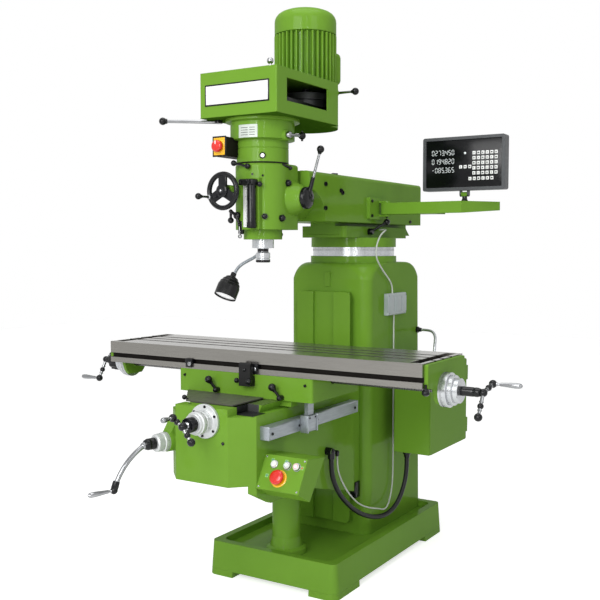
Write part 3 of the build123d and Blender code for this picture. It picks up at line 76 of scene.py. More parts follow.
def finish(name, dark, light, patch, rough, grain, metal=0.0, wave=(30.0, 0.0), stretch=(1, 1, 1), coat=0.0,
           edge=0.0, shine=0.5, glow=0.0):
    """A finish with blotches between two colours, uneven gloss, a fine grain and a slow waviness.

    Rough is the range of the gloss; grain and wave are a scale and a depth in metres.
    """
    colours = tone(*dark), tone(*light)
    material = bpy.data.materials.new(name)
    material.use_nodes = True
    tree = material.node_tree
    link = tree.links.new
    shader = tree.nodes["Principled BSDF"]
    shader.inputs["Metallic"].default_value = metal
    shader.inputs["Coat Weight"].default_value = coat
    shader.inputs["Coat Roughness"].default_value = coat_gloss
    shader.inputs["Specular IOR Level"].default_value = shine
    shader.inputs["Emission Color"].default_value = colours[1]
    shader.inputs["Emission Strength"].default_value = glow
    place = node(tree, "TexCoord")
    turned = node(tree, "Mapping", Scale=stretch)
    link(place.outputs["Object"], turned.inputs["Vector"])
    blotch = node(tree, "TexNoise", Scale=patch, Detail=5.0, Roughness=0.6)
    link(turned.outputs["Vector"], blotch.inputs["Vector"])
    ramp = tree.nodes.new("ShaderNodeValToRGB")
    for stop, colour, blotch_edge in zip(ramp.color_ramp.elements, colours, blotch_edges):
        stop.color = colour
        stop.position = blotch_edge
    link(blotch.outputs["Fac"], ramp.inputs["Fac"])
    link(ramp.outputs["Color"], shader.inputs["Base Color"])
    gloss = node(tree, "TexNoise", Scale=patch * gloss_patches, Detail=4.0)
    link(turned.outputs["Vector"], gloss.inputs["Vector"])
    spread = node(tree, "MapRange", From_Min=0.3, From_Max=0.7, To_Min=rough[0], To_Max=rough[1])
    link(gloss.outputs["Fac"], spread.inputs["Value"])
    link(spread.outputs["Result"], shader.inputs["Roughness"])
    fine = node(tree, "TexNoise", Scale=grain[0], Detail=3.0)
    link(turned.outputs["Vector"], fine.inputs["Vector"])
    bumps = node(tree, "Bump", Strength=1.0, Distance=grain[1])
    link(fine.outputs["Fac"], bumps.inputs["Height"])
    if wave[1]:
        slow = node(tree, "TexNoise", Scale=wave[0], Detail=1.0)
        link(place.outputs["Object"], slow.inputs["Vector"])
        swell = node(tree, "Bump", Strength=1.0, Distance=wave[1])
        link(slow.outputs["Fac"], swell.inputs["Height"])
        link(swell.outputs["Normal"], bumps.inputs["Normal"])
    if edge:
        rounded = tree.nodes.new("ShaderNodeBevel")
        rounded.samples = 6
        rounded.inputs["Radius"].default_value = edge
        first = swell if wave[1] else bumps
        link(rounded.outputs["Normal"], first.inputs["Normal"])
    link(bumps.outputs["Normal"], shader.inputs["Normal"])
    link(bumps.outputs["Normal"], shader.inputs["Coat Normal"])
    return material


green_paint = finish(
    "green_enamel", (106, 150, 46), (113, 157, 52), patch=2.2, rough=(0.2, 0.28),
    grain=(420.0, 0.00012), wave=(16.0, 0.0012), coat=0.2, edge=0.003, shine=0.0,
)
ground_steel = finish(
    "ground_steel", (134, 132, 127), (142, 140, 135), patch=3.0, metal=0.9, rough=(0.22, 0.28),
    grain=(9.0, 0.00002), stretch=(3, 90, 90), edge=0.0012,
)
satin_chrome = finish(
    "satin_chrome", (178, 181, 184), (192, 194, 196), patch=4.0, metal=0.8, rough=(0.24, 0.28),
    grain=(12.0, 0.00001), stretch=(30, 6, 6), edge=0.001,
)
polished_steel = finish(
    "polished_steel", (132, 134, 136), (164, 165, 167), patch=9.0, metal=1.0, rough=(0.08, 0.18),
    grain=(300.0, 0.00002),
)
black_steel = finish(
    "black_steel", (13, 14, 16), (22, 23, 26), patch=9.0, rough=(0.14, 0.22),
    grain=(400.0, 0.00003), coat=0.12, shine=0.2,
)
black_plastic = finish(
    "black_plastic", (11, 12, 13), (19, 20, 22), patch=14.0, rough=(0.16, 0.28),
    grain=(700.0, 0.00006), coat=0.1, edge=0.0008, shine=0.2,
)
black_iron = finish(
    "black_iron", (13, 13, 14), (24, 24, 24), patch=7.0, rough=(0.28, 0.44),
    grain=(260.0, 0.0002), edge=0.001, shine=0.25,
)
cast_iron = finish(
    "cast_iron", (70, 71, 72), (98, 99, 100), patch=8.0, metal=0.6, rough=(0.38, 0.55),
    grain=(240.0, 0.0002), edge=0.001,
)
aluminium = finish(
    "grey_aluminium", (140, 146, 152), (160, 166, 171), patch=6.0, metal=0.55, rough=(0.3, 0.42),
    grain=(14.0, 0.00006), stretch=(40, 3, 40), edge=0.001,
)
display_plastic = finish(
    "display_plastic", (50, 53, 56), (62, 65, 68), patch=12.0, rough=(0.36, 0.5),
    grain=(900.0, 0.0001), edge=0.002,
)
red_plastic = finish(
    "red_plastic", (206, 22, 14), (224, 36, 22), patch=20.0, rough=(0.18, 0.3),
    grain=(600.0, 0.00005), coat=0.4, edge=0.001,
)
yellow_plastic = finish(
    "yellow_plastic", (238, 178, 14), (248, 194, 26), patch=20.0, rough=(0.22, 0.34),
    grain=(600.0, 0.00005), coat=0.3, edge=0.001,
)
green_plastic = finish(
    "green_plastic", (24, 122, 58), (36, 140, 70), patch=20.0, rough=(0.2, 0.3),
    grain=(600.0, 0.00005), coat=0.3, edge=0.001,
)
white_plastic = finish(
    "white_plastic", (226, 228, 226), (240, 241, 239), patch=20.0, rough=(0.25, 0.38),
    grain=(700.0, 0.00004),
)
hose_rubber = finish(
    "hose_rubber", (15, 17, 17), (26, 28, 28), patch=14.0, rough=(0.3, 0.44),
    grain=(500.0, 0.0001), shine=0.25,
)
grey_cable = finish(
    "grey_cable", (188, 194, 186), (206, 210, 203), patch=14.0, rough=(0.3, 0.42),
    grain=(500.0, 0.00006),
)
bronze = finish(
    "bronze", (168, 128, 66), (190, 148, 84), patch=10.0, metal=1.0, rough=(0.25, 0.4),
    grain=(220.0, 0.00008),
)
grey_paint = finish(
    "light_grey_paint", (160, 170, 172), (176, 185, 186), patch=9.0, rough=(0.3, 0.42),
    grain=(600.0, 0.0001), edge=0.0015,
)
lamp_glass = finish(
    "lamp_glass", (244, 246, 248), (252, 253, 254), patch=30.0, rough=(0.1, 0.2),
    grain=(160.0, 0.0003), glow=0.5,
)
digit_glow = finish(
    "lit_digits", (206, 214, 214), (226, 232, 232), patch=60.0, rough=(0.3, 0.4),
    grain=(600.0, 0.00002), glow=0.25,
)
screen_glass = finish(
    "screen_black", (8, 9, 11), (14, 15, 18), patch=12.0, rough=(0.12, 0.2),
    grain=(800.0, 0.00003), shine=0.2,
)

# Painted shade: a darker, duller copy of the green enamel for undersides that stand in shade.
painted_shade_green = finish(
    "painted_shade_green", (62, 100, 22), (70, 108, 27), patch=2.2, rough=(0.6, 0.7),
    grain=(420.0, 0.00012), wave=(16.0, 0.0012), edge=0.003, shine=0.0,
)
grey_plate = finish(
    "speed_plate_print", (196, 206, 196), (212, 220, 212), patch=30.0, rough=(0.3, 0.4),
    grain=(700.0, 0.00003),
)
dark_ink = finish(
    "dark_ink", (24, 25, 26), (36, 37, 38), patch=40.0, rough=(0.4, 0.5), grain=(700.0, 0.00002), shine=0.2,
)
# Painted shade: a near-black, dull finish laid in gaps, grooves and slots and on the switch box, where shade
# falls.
painted_shade_black = finish(
    "painted_shade_black", (18, 16, 14), (30, 27, 24), patch=12.0, rough=(0.5, 0.7), grain=(300.0, 0.0001), shine=0.1,
)
oiled_steel = finish(
    "oiled_screw_steel", (34, 31, 28), (52, 48, 43), patch=14.0, metal=0.7, rough=(0.2, 0.34),
    grain=(300.0, 0.00005), shine=0.3,
)
blue_ink = finish(
    "blue_ink", (24, 104, 128), (38, 122, 144), patch=40.0, rough=(0.4, 0.5), grain=(700.0, 0.00002),
)
pale_green_label = finish(
    "pale_green_label", (132, 186, 96), (142, 194, 108), patch=30.0, rough=(0.35, 0.45),
    grain=(700.0, 0.00002),
)

bright_alloy = finish(
    "bright_alloy", (196, 199, 199), (208, 211, 211), patch=5.0, metal=0.45, rough=(0.36, 0.42),
    grain=(300.0, 0.00002), edge=0.001,
)
cover_sheet = finish(
    "way_cover_sheet", (80, 80, 72), (94, 94, 86), patch=6.0, rough=(0.34, 0.46), grain=(200.0, 0.00004),
    shine=0.25,
)

finish_of_slot = {
    "green_paint": green_paint, "ground_steel": ground_steel, "satin_chrome": satin_chrome,
    "black_plastic": black_plastic, "black_iron": black_iron, "cast_iron_grey": cast_iron,
    "aluminium_grey": aluminium, "display_plastic": display_plastic, "red_plastic": red_plastic,
    "green_plastic": green_plastic, "hose_rubber": hose_rubber, "grey_cable": grey_cable,
    "bronze": bronze, "light_grey_paint": grey_paint,
}
for row in frame["record"]["subparts"]:
    solid = frame["nodes"][row["node"]]
    solid.data.materials.clear()
    solid.data.materials.append(finish_of_slot[row["material_slot"]])
frame["nodes"]["way_cover"].data.materials[0] = cover_sheet
# The switch box is given the painted shade black, so it reads as shade underneath.
frame["nodes"]["switch_box"].data.materials[0] = painted_shade_black
frame["nodes"]["knee_crank_shaft"].data.materials[0] = bright_alloy


# Shapes: all go into the piece being drawn

work = bmesh.new()
smooth_angle = math.radians(38)


def add(part, index, move=None):
    """Puts a shape that is ready into the piece being drawn."""
    if move is not None:
        bmesh.ops.transform(part, matrix=move, verts=part.verts)
    bmesh.ops.recalc_face_normals(part, faces=part.faces)
    for face in part.faces:
        face.material_index = index
    mesh = bpy.data.meshes.new("part")
    part.to_mesh(mesh)
    part.free()
    work.from_mesh(mesh)
    bpy.data.meshes.remove(mesh)


def pose(origin, axis):
    """Turn and move that takes the upright axis to an axis through a point."""
    turn = Vector(axis_up).rotation_difference(Vector(axis)).to_matrix().to_4x4()
    return Matrix.Translation(origin) @ turn


def lathe(outline, origin, axis, index=0, steps=36):
    """Turned shape from (radius, height) points along an axis."""
    part = bmesh.new()
    rail = [part.verts.new((radius, 0, height)) for radius, height in outline]
    edges = [part.edges.new(pair) for pair in zip(rail, rail[1:])]
    bmesh.ops.spin(
        part, geom=rail + edges, cent=(0, 0, 0), axis=axis_up, angle=math.tau, steps=steps, use_merge=True,
    )
    bmesh.ops.remove_doubles(part, verts=part.verts, dist=0.001)
    add(part, index, pose(origin, axis))


def bar(start, end, first, last=None, index=0, sides=20):
    """Round bar, tapered where its ends differ."""
    start, end = Vector(start), Vector(end)
    part = bmesh.new()
    bmesh.ops.create_cone(
        part, cap_ends=True, segments=sides, radius1=first, radius2=first if last is None else last,
        depth=(end - start).length,
    )
    add(part, index, pose((start + end) / 2, end - start))


def ball(centre, radius, index=0, axis=axis_up):
    part = bmesh.new()
    bmesh.ops.create_uvsphere(part, u_segments=28, v_segments=16, radius=radius)
    add(part, index, pose(centre, axis))


def slab(low, high, round_by=0.0, index=0, segments=2, turn=None):
    """Block between two corners with rounded edges."""
    low, high = Vector(low), Vector(high)
    part = bmesh.new()
    size = Matrix.Diagonal(high - low).to_4x4()
    bmesh.ops.create_cube(part, size=1.0, matrix=Matrix.Translation((low + high) / 2) @ size)
    if round_by:
        bmesh.ops.bevel(
            part, geom=part.edges, offset=round_by, offset_type="OFFSET", segments=segments, profile=0.5,
            affect="EDGES", material=-1, clamp_overlap=True,
        )
    add(part, index, turn)


def cap_screw(centre, axis, radius, height, index=0, sides=14):
    """Screw head with a sunk socket, standing on a face."""
    part = bmesh.new()
    bmesh.ops.create_cone(
        part, cap_ends=True, segments=sides, radius1=radius, radius2=radius * 0.94, depth=height + 1,
    )
    top = max(part.faces, key=lambda f: f.calc_center_median().z)
    bmesh.ops.inset_individual(part, faces=[top], thickness=radius * 0.4)
    bmesh.ops.inset_individual(part, faces=[top], thickness=radius * 0.04, depth=-height * 0.6)
    axis = Vector(axis).normalized()
    add(part, index, pose(Vector(centre) + axis * (height - 1) / 2, axis))


def dome_nut(centre, axis, radius, height, index=0):
    """Six-sided nut with a domed cap."""
    centre, axis = Vector(centre), Vector(axis).normalized()
    bar(centre - axis, centre + axis * height * 0.45, radius, radius, index, 6)
    lathe([
        (radius * 0.84, height * 0.4), (radius * 0.84, height * 0.55), (radius * 0.7, height * 0.82),
        (radius * 0.4, height * 0.97), (0, height),
    ], centre, axis, index, 20)


def start_piece(mesh, index):
    """Starts a piece with a mesh that was drawn in metres."""
    work.from_mesh(mesh)
    bpy.data.meshes.remove(mesh)
    bmesh.ops.scale(work, vec=(1 / mm, 1 / mm, 1 / mm), verts=work.verts)
    for face in work.faces:
        face.material_index = index


def piece(name, finishes, body, replaces=()):
    """Finishes the piece being drawn, in metres, lets it ride on a body and makes room for the next."""
    global work
    bmesh.ops.scale(work, vec=(mm, mm, mm), verts=work.verts)
    mesh = bpy.data.meshes.new(name)
    work.to_mesh(mesh)
    work.free()
    work = bmesh.new()
    for material in finishes:
        mesh.materials.append(material)
    mesh.shade_smooth()
    mesh.set_sharp_from_angle(angle=smooth_angle)
    made = bpy.data.objects.new(name, mesh)
    bpy.context.scene.collection.objects.link(made)
    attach(made, body)
    if replaces:
        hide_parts(*replaces)


# Camera, floor and light

camera = bpy.data.objects.new("camera", bpy.data.cameras.new("camera"))
camera.location = (1.7728, -3.0836, 1.2253)
camera_dip, camera_turn = 3.74, 31.42
camera.rotation_euler = (math.radians(90 - camera_dip), 0, math.radians(camera_turn))
camera.data.sensor_width = 36
camera.data.lens = 53.82
camera.data.shift_x = -0.017
camera.data.shift_y = 0.0082
bpy.context.scene.collection.objects.link(camera)
bpy.context.scene.camera = camera
bpy.context.scene.view_settings.view_transform = "Standard"
floor_lift, room_light = 0.64, 0.31


def backdrop_rays(tree):
    """One for rays from the camera, a mirror or a glass, and zero for the backdrop's light on the object."""
    ray = tree.nodes.new("ShaderNodeLightPath")
    seen = ray.outputs["Is Camera Ray"]
    for kind in ("Is Glossy Ray", "Is Transmission Ray"):
        either = tree.nodes.new("ShaderNodeMath")
        either.operation = "MAXIMUM"
        tree.links.new(seen, either.inputs[0])
        tree.links.new(ray.outputs[kind], either.inputs[1])
        seen = either.outputs["Value"]
    return seen


floor_mesh = bpy.data.meshes.new("floor")
grid = bmesh.new()
bmesh.ops.create_grid(grid, x_segments=2, y_segments=2, size=9)
grid.to_mesh(floor_mesh)
grid.free()
floor = bpy.data.objects.new("floor", floor_mesh)
bpy.context.scene.collection.objects.link(floor)
floor_finish = bpy.data.materials.new("pale_floor")
floor_finish.use_nodes = True
tree = floor_finish.node_tree
shader = tree.nodes["Principled BSDF"]
shader.inputs["Roughness"].default_value = 0.7
speckle = node(tree, "TexNoise", Scale=14.0, Detail=3.0)
pale = tree.nodes.new("ShaderNodeValToRGB")
pale.color_ramp.elements[0].color = tone(236, 236, 236)
pale.color_ramp.elements[1].color = tone(243, 243, 243)
tree.links.new(speckle.outputs["Fac"], pale.inputs["Fac"])
tree.links.new(pale.outputs["Color"], shader.inputs["Base Color"])
lift = node(tree, "MapRange", To_Max=floor_lift)
tree.links.new(backdrop_rays(tree), lift.inputs["Value"])
shader.inputs["Emission Color"].default_value = (1, 1, 1, 1)
tree.links.new(lift.outputs["Result"], shader.inputs["Emission Strength"])
floor_mesh.materials.append(floor_finish)

world = bpy.data.worlds.new("studio")
bpy.context.scene.world = world
world.use_nodes = True
tree = world.node_tree
sky = tree.nodes["Background"]
sky.inputs["Color"].default_value = (1, 1, 1, 1)
level = node(tree, "MapRange", To_Min=room_light, To_Max=1.0)
tree.links.new(backdrop_rays(tree), level.inputs["Value"])
tree.links.new(level.outputs["Result"], sky.inputs["Strength"])


def softbox(name, place, aim, width, height, power):
    lamp = bpy.data.lights.new(name, "AREA")
    lamp.shape = "RECTANGLE"
    lamp.size = width
    lamp.size_y = height
    lamp.energy = power
    made = bpy.data.objects.new(name, lamp)
    made.location = place
    made.visible_camera = False
    made.rotation_euler = (Vector(aim) - Vector(place)).to_track_quat("-Z", "Y").to_euler()
    bpy.context.scene.collection.objects.link(made)


softbox("front_light", (0.2, -4.1, 2.5), (0, 0, 1.1), 2.0, 2.0, 76)
softbox("left_strip_light", (0.9, -4.4, 1.8), (0, 0, 1.2), 0.14, 2.6, 24)
softbox("right_strip_light", (2.4, -3.4, 2.0), (0, 0, 1.3), 0.14, 2.6, 18)
softbox("right_fill_light", (3.2, -1.8, 3.0), (0, -0.2, 1.6), 1.4, 1.4, 17)
softbox("top_light", (0.2, -0.6, 4.2), (0, 0, 0.9), 2.4, 2.4, 46)


# Cords: the routes repeat those of the solids, in metres

def route_line(name, route):
    """Smooth line with a route's points as its control points."""
    curve = bpy.data.curves.new(name, "CURVE")
    curve.dimensions = "3D"
    line = curve.splines.new("NURBS")
    line.points.add(len(route) - 1)
    for knot, place in zip(line.points, route):
        knot.co = (*place, 1.0)
    line.order_u = 3
    line.use_endpoint_u = True
    line.resolution_u = 10
    made = bpy.data.objects.new(name, curve)
    bpy.context.scene.collection.objects.link(made)
    return made


def read_mesh(thing):
    bpy.context.view_layer.update()
    return bpy.data.meshes.new_from_object(thing.evaluated_get(bpy.context.evaluated_depsgraph_get()))


def line_points(line):
    mesh = read_mesh(line)
    points = [v.co.copy() for v in mesh.vertices]
    bpy.data.meshes.remove(mesh)
    return points


def path_length(points):
    return sum((b - a).length for a, b in zip(points, points[1:]))


def plain_cable(name, route, radius):
    """Smooth round cable as a mesh, with the points that it follows."""
    line = route_line(name + "_line", route)
    points = line_points(line)
    line.data.bevel_depth = radius
    line.data.bevel_resolution = 4
    line.data.use_fill_caps = True
    mesh = read_mesh(line)
    bpy.data.objects.remove(line)
    return mesh, points


def lathe_metres(tube, outline, sides):
    """Turned tube along X, drawn in metres."""
    rail = [tube.verts.new((along, radius, 0)) for radius, along in outline]
    edges = [tube.edges.new(pair) for pair in zip(rail, rail[1:])]
    bmesh.ops.spin(
        tube, geom=rail + edges, cent=(0, 0, 0), axis=to_right, angle=math.tau, steps=sides, use_merge=True,
    )
    bmesh.ops.remove_doubles(tube, verts=tube.verts, dist=1e-6)
    bmesh.ops.recalc_face_normals(tube, faces=tube.faces)


def ribbed_tube(name, route, radius, pitch, depth, sides=18):
    """Tube with ribs along it, bent along the route's line."""
    line = route_line(name + "_line", route)
    points = line_points(line)
    length = path_length(points)
    ribs = round(length / pitch)
    step = length / ribs
    outline = [(0, 0), (radius - depth, 0)]
    for rib in range(ribs):
        start = rib * step
        outline += [
            (radius, start + step * 0.3), (radius, start + step * 0.7), (radius - depth, start + step),
        ]
    outline += [(0, length)]
    tube = bmesh.new()
    lathe_metres(tube, outline, sides)
    mesh = bpy.data.meshes.new(name)
    tube.to_mesh(mesh)
    tube.free()
    straight = bpy.data.objects.new(name + "_straight", mesh)
    bpy.context.scene.collection.objects.link(straight)
    bend = straight.modifiers.new("bend", "CURVE")
    bend.object = line
    bend.deform_axis = "POS_X"
    bent = read_mesh(straight)
    bpy.data.objects.remove(straight)
    bpy.data.objects.remove(line)
    return bent, points



def cord_piece(name, mesh, material, node_name):
    mesh.name = name
    mesh.materials.clear()
    mesh.materials.append(material)
    mesh.shade_smooth()
    made = bpy.data.objects.new(name, mesh)
    bpy.context.scene.collection.objects.link(made)
    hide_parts(node_name)
    return made


conduit_route = [
    (0.200, 0.396, 0.872), (0.226, 0.396, 0.872), (0.253, 0.382, 0.870), (0.277, 0.354, 0.863),
    (0.296, 0.322, 0.852), (0.307, 0.296, 0.838), (0.312, 0.280, 0.821), (0.314, 0.272, 0.802),
    (0.314, 0.272, 0.782),
]
hose_route = [
    (0.190, -0.348, 0.470), (0.190, -0.348, 0.430), (0.192, -0.334, 0.382), (0.196, -0.302, 0.332),
    (0.202, -0.256, 0.286), (0.210, -0.204, 0.246), (0.221, -0.146, 0.214), (0.234, -0.084, 0.194),
    (0.247, -0.026, 0.190), (0.259, 0.024, 0.208), (0.269, 0.058, 0.246), (0.277, 0.080, 0.300),
    (0.281, 0.088, 0.352), (0.281, 0.088, 0.397),
]
display_route = [
    (0.122, 0.150, 1.292), (0.144, 0.150, 1.292), (0.162, 0.134, 1.291), (0.174, 0.098, 1.286),
    (0.181, 0.056, 1.274), (0.187, 0.018, 1.252), (0.190, -0.006, 1.222), (0.190, -0.008, 1.188),
    (0.190, 0.014, 1.160), (0.190, 0.050, 1.132), (0.189, 0.088, 1.108), (0.188, 0.122, 1.086),
    (0.188, 0.140, 1.062), (0.188, 0.140, 1.038),
]
scale_route = [
    (0.188, 0.154, 0.952), (0.188, 0.154, 0.920), (0.188, 0.154, 0.360), (0.188, 0.154, 0.330),
    (0.189, 0.148, 0.262), (0.194, 0.118, 0.214), (0.204, 0.072, 0.192), (0.216, 0.020, 0.194),
    (0.222, -0.038, 0.214), (0.215, -0.098, 0.230), (0.204, -0.158, 0.256), (0.197, -0.212, 0.298),
    (0.192, -0.256, 0.346), (0.188, -0.290, 0.400), (0.188, -0.302, 0.436), (0.188, -0.302, 0.470),
]

mesh, points = ribbed_tube("armoured_conduit", conduit_route, 0.006, 0.0045, 0.0007)
conduit = cord_piece("armoured_conduit", mesh, satin_chrome, "cabinet_conduit")
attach(conduit, "frame")

mesh, points = ribbed_tube("black_control_hose", hose_route, 0.009, 0.005, 0.0008)
hose = cord_piece("black_control_hose", mesh, hose_rubber, "control_hose")
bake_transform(hose)

mesh, points = plain_cable("display_lead", display_route, 0.003)
display_lead = cord_piece("display_lead", mesh, grey_cable, "display_cable")
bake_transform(display_lead)

mesh, points = plain_cable("scale_lead", scale_route, 0.003)
scale_lead = cord_piece("scale_lead", mesh, grey_cable, "scale_cable")
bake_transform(scale_lead)


# Ball levers and cranks

steel_and_black = (polished_steel, black_plastic, black_steel)


def ball_lever(start, end, thick, thin, radius, rod_index=0, ball_index=1):
    """Tapered rod with a ball screwed on its end."""
    start, end = Vector(start), Vector(end)
    way = (end - start).normalized()
    bar(start, end, thick, thin, rod_index)
    ball(end, radius, ball_index, way)
    lathe([
        (thin * 0.9, -radius * 1.25), (thin * 1.5, -radius * 1.2), (thin * 1.7, -radius * 0.7),
        (0, -radius * 0.6),
    ], end, way, ball_index, 20)


def hub_knob(centre, axis, radius, height, index=0):
    """Turned hub with a rounded rim."""
    lathe([
        (0, 0), (radius * 0.92, 0), (radius, height * 0.06), (radius, height * 0.7),
        (radius * 0.92, height * 0.88), (radius * 0.7, height), (0, height),
    ], centre, axis, index)


grip_length = 82
grip_radius = 9


def turned_grip(root, axis, length=grip_length):
    """Revolving handle that swells towards its end, on a shouldered neck."""
    shape = [
        (0, -2), (0.62, 0), (0.62, 0.05), (0.46, 0.07), (0.46, 0.13), (0.66, 0.15), (0.72, 0.3), (0.9, 0.55),
        (1.0, 0.74), (0.96, 0.88), (0.76, 0.96), (0.4, 1.0), (0, 1.0),
    ]
    lathe([(r * grip_radius, h * length if h > 0 else h) for r, h in shape], root, axis, 0, 28)


ball_size = 13
small_ball_size = 10


def ball_crank(centre, axis, grip_arm, weight_arm, length=grip_length):
    """Crank of two arms with balls on them and a grip at the end of the first."""
    centre, axis = Vector(centre), Vector(axis)
    ball(centre, ball_size, 2, axis)
    for arm in (Vector(grip_arm), Vector(weight_arm)):
        way = arm.normalized()
        bar(centre, centre + arm, 6.0, 5.0)
        ball(centre + arm * 0.55, small_ball_size, 2, way)
        for share in (0.55 - 14 / arm.length, 0.55 + 14 / arm.length):
            lathe([(5.2, -2.2), (7.4, -1.6), (7.4, 1.6), (5.2, 2.2)], centre + arm * share, way, 0, 20)
        ball(centre + arm, ball_size, 2, way)
    turned_grip(centre + Vector(grip_arm) + axis * (ball_size - 1), axis, length)


screw_y, screw_z = -487, 778
table_left, table_right = -605.5, 664.5
bracket_thickness, dial_length = 13, 58.4
right_hub_length, left_hub_length = 58, 72
right_dial_x, left_dial_x = table_right + bracket_thickness, table_left - bracket_thickness
right_crank_x = right_dial_x + dial_length + right_hub_length + ball_size
left_crank_x = left_dial_x - dial_length - left_hub_length - ball_size
ball_crank((right_crank_x, screw_y, screw_z), to_right, (8, 62, 20), (0, -41, -69))
lathe([
    (12.5, 0), (15, 0), (15, 40), (13.6, 43), (15, 46), (15, 54), (12, 63), (0, 64),
], (right_crank_x - ball_size - right_hub_length, screw_y, screw_z), to_right, 2)
ball_crank((left_crank_x, screw_y, screw_z), to_left, (-2, -36, -70), (0, 58, 30))
lathe([
    (12.5, 0), (33, 0), (34, 2), (34, 38), (32.5, 42), (29, 44), (18, 44), (15, 47), (15, 66), (12, 77),
    (0, 78),
], (left_crank_x + ball_size + left_hub_length, screw_y, screw_z), to_left, 1)
flute_x, flute_circle, flute_half = left_crank_x + ball_size + 50, 34, Vector((16, 0, 0))
for flute in range(12):
    turn = math.tau * flute / 12
    flute_y, flute_z = screw_y + flute_circle * math.cos(turn), screw_z + flute_circle * math.sin(turn)
    place = Vector((flute_x, flute_y, flute_z))
    bar(place - flute_half, place + flute_half, 3.2, 3.2, 1, 10)
piece("table_ball_cranks", steel_and_black, "table_drive", ["table_cranks"])

cross_x, cross_z, flange_front = 20, 672, -886
cross_end, cross_reach = (cross_x, flange_front, cross_z), 67
cross_ball = (cross_x, flange_front - cross_reach - ball_size, cross_z)
ball_crank(cross_ball, front, (-38, 0, 24), (34, 0, -44), 40)
lathe([(22, 31.6), (24, 31.8), (24, 57), (22.6, 59), (14, 60), (0, 60)], cross_end, front, 2)
lathe([(10, 60), (13, 60), (13, 64), (10, 66), (10, 70)], cross_end, front, 0)
lathe([
    (12.6, 0.5), (36, 0.5), (37.4, 1.8), (37.4, 18), (34, 21), (33, 29), (31, 31.6), (12.6, 31.6),
], cross_end, front, 3, 56)
piece("cross_ball_crank", (*steel_and_black, bright_alloy), "cross_feed", ["cross_crank"])

crank_turn = math.radians(16.3)
crank_way = Vector((-math.sin(crank_turn), -math.cos(crank_turn), 0))
crank_root = Vector((0, -350, 587))
hub_end = 605.2
arm_dip = math.radians(26)
arm_start = crank_root + crank_way * (hub_end - 4)
arm_end = crank_root + crank_way * (hub_end + 110) - Vector((0, 0, 128))
leaving = crank_way * math.cos(arm_dip) - Vector((0, 0, math.sin(arm_dip)))
chord = arm_end - arm_start
corner = arm_start + leaving * (chord.length / 2 / math.cos(leaving.angle(chord)))
arm_line = route_line("crank_arm_line", [tuple(p * mm) for p in (arm_start, corner, arm_end)])
arm_line.data.bevel_depth = 8 * mm
arm_line.data.bevel_resolution = 6
arm_line.data.splines[0].resolution_u = 24
start_piece(read_mesh(arm_line), 0)
bpy.data.objects.remove(arm_line)
down = (arm_end - corner).normalized()
lathe([(8.2, -30), (11, -29), (11.6, -20), (11.6, -6), (9, 0)], arm_end, down, 1, 28)
ball(arm_end, 12, 1, down)
turned_grip(arm_end + crank_way * 8, crank_way)
lathe([
    (14, 0), (18, 0), (19, 1.2), (19, 16), (17.6, 18), (19, 20), (19, 27), (15, 36), (10.5, 40), (0, 40),
], crank_root + crank_way * (hub_end - 40), crank_way, 1)
lathe([(8.4, -2), (11, -2), (11, 8), (9.6, 11), (8.4, 11)], arm_start, leaving, 0, 28)
piece("knee_crank_handle", steel_and_black, "knee_drive", ["knee_crank"])

for side, x, z in (("left", -103, 732), ("right", 160, 726)):
    foot = Vector((x, -622.3, z))
    hub_knob(foot, front, 9, 22, 1)
    start = Vector((x, -634, z))
    ball(start - Vector((0, 6, 0)), 9, 1)
    ball_lever(start, start + Vector((-21, -16, 36)), 5.4, 4.6, ball_size, 2, 1)
    piece("saddle_clamp_handle_" + side, steel_and_black, "clamp_" + side,
          ["saddle_clamp_" + side])

clamp_foot = Vector((99.3, 104, 1259.3 + 44 * 0.55))
hub_knob(clamp_foot, to_right, 13, 20, 2)
start = clamp_foot + Vector((11.7, 0, 0))
ball_lever(start, start + Vector((46, 46, 39)), 5.4, 4.4, ball_size, 2, 1)
piece("ram_clamp_handle", steel_and_black, "ram_clamp", ["ram_clamp_lever"])

lever_y, lever_z = -443, 1391
lever_foot = Vector((138.4, lever_y, lever_z))
lever_ball = Vector((201, lever_y, 1554))
lathe([
    (0, 0), (36, 0), (38, 2), (38, 12), (35, 16), (27, 20), (14, 22), (0, 22.5),
], lever_foot, to_right, 1)
bar((8, lever_y, lever_z), lever_foot, 14)
root = lever_foot + Vector((12, 0, 0))
way = (lever_ball - root).normalized()
bar(root, root + way * 74, 8.5, 6.5, 1)
ball_lever(root + way * 60, lever_ball, 5, 4.4, ball_size)
cap_screw(lever_foot + Vector((21, 0, 0)), to_right, 6, 3, 2)
piece("quill_feed_handle", steel_and_black, "quill_lever", ["quill_lever"])

brake_foot = Vector((-126, -581, 1646.7))
lathe([(0, 0), (13, 0), (14, 1), (14, 11), (13, 12), (6, 12), (6, 19), (0, 19)], brake_foot, axis_up, 2)
ball_lever(brake_foot + Vector((0, 0, 6)), (-279, -694, brake_foot.z + 6), 7, 5.5, ball_size)
piece("brake_handle", steel_and_black, "brake", ["brake_lever"])

gear_foot = Vector((117.3, -518, 1600))
hub_knob(gear_foot, to_right, 12, 12, 0)
bar(gear_foot - Vector((28, 0, 0)), gear_foot, 5, 5)
gear_ball = gear_foot + Vector((8, 78, 4))
ball_lever(gear_foot + Vector((7, 0, 0)), gear_ball, 6, 5, ball_size)
bar(gear_ball - Vector((0, 0, 18)), gear_ball + Vector((0, 0, 17)), 4, 3, 1)
piece("back_gear_handle", steel_and_black, "back_gear", ["back_gear_lever"])

speed_foot = Vector((136, -227.7, 1779))
hub_knob(speed_foot, (0, 1, 0), 11, 12, 0)
bar(speed_foot - Vector((0, 18, 0)), speed_foot, 5, 5)
ball_lever(speed_foot + Vector((0, 6, 0)), speed_foot + Vector((78, 6, 0)), 5, 4, ball_size)
piece("speed_change_handle", steel_and_black, "speed", ["speed_lever"])

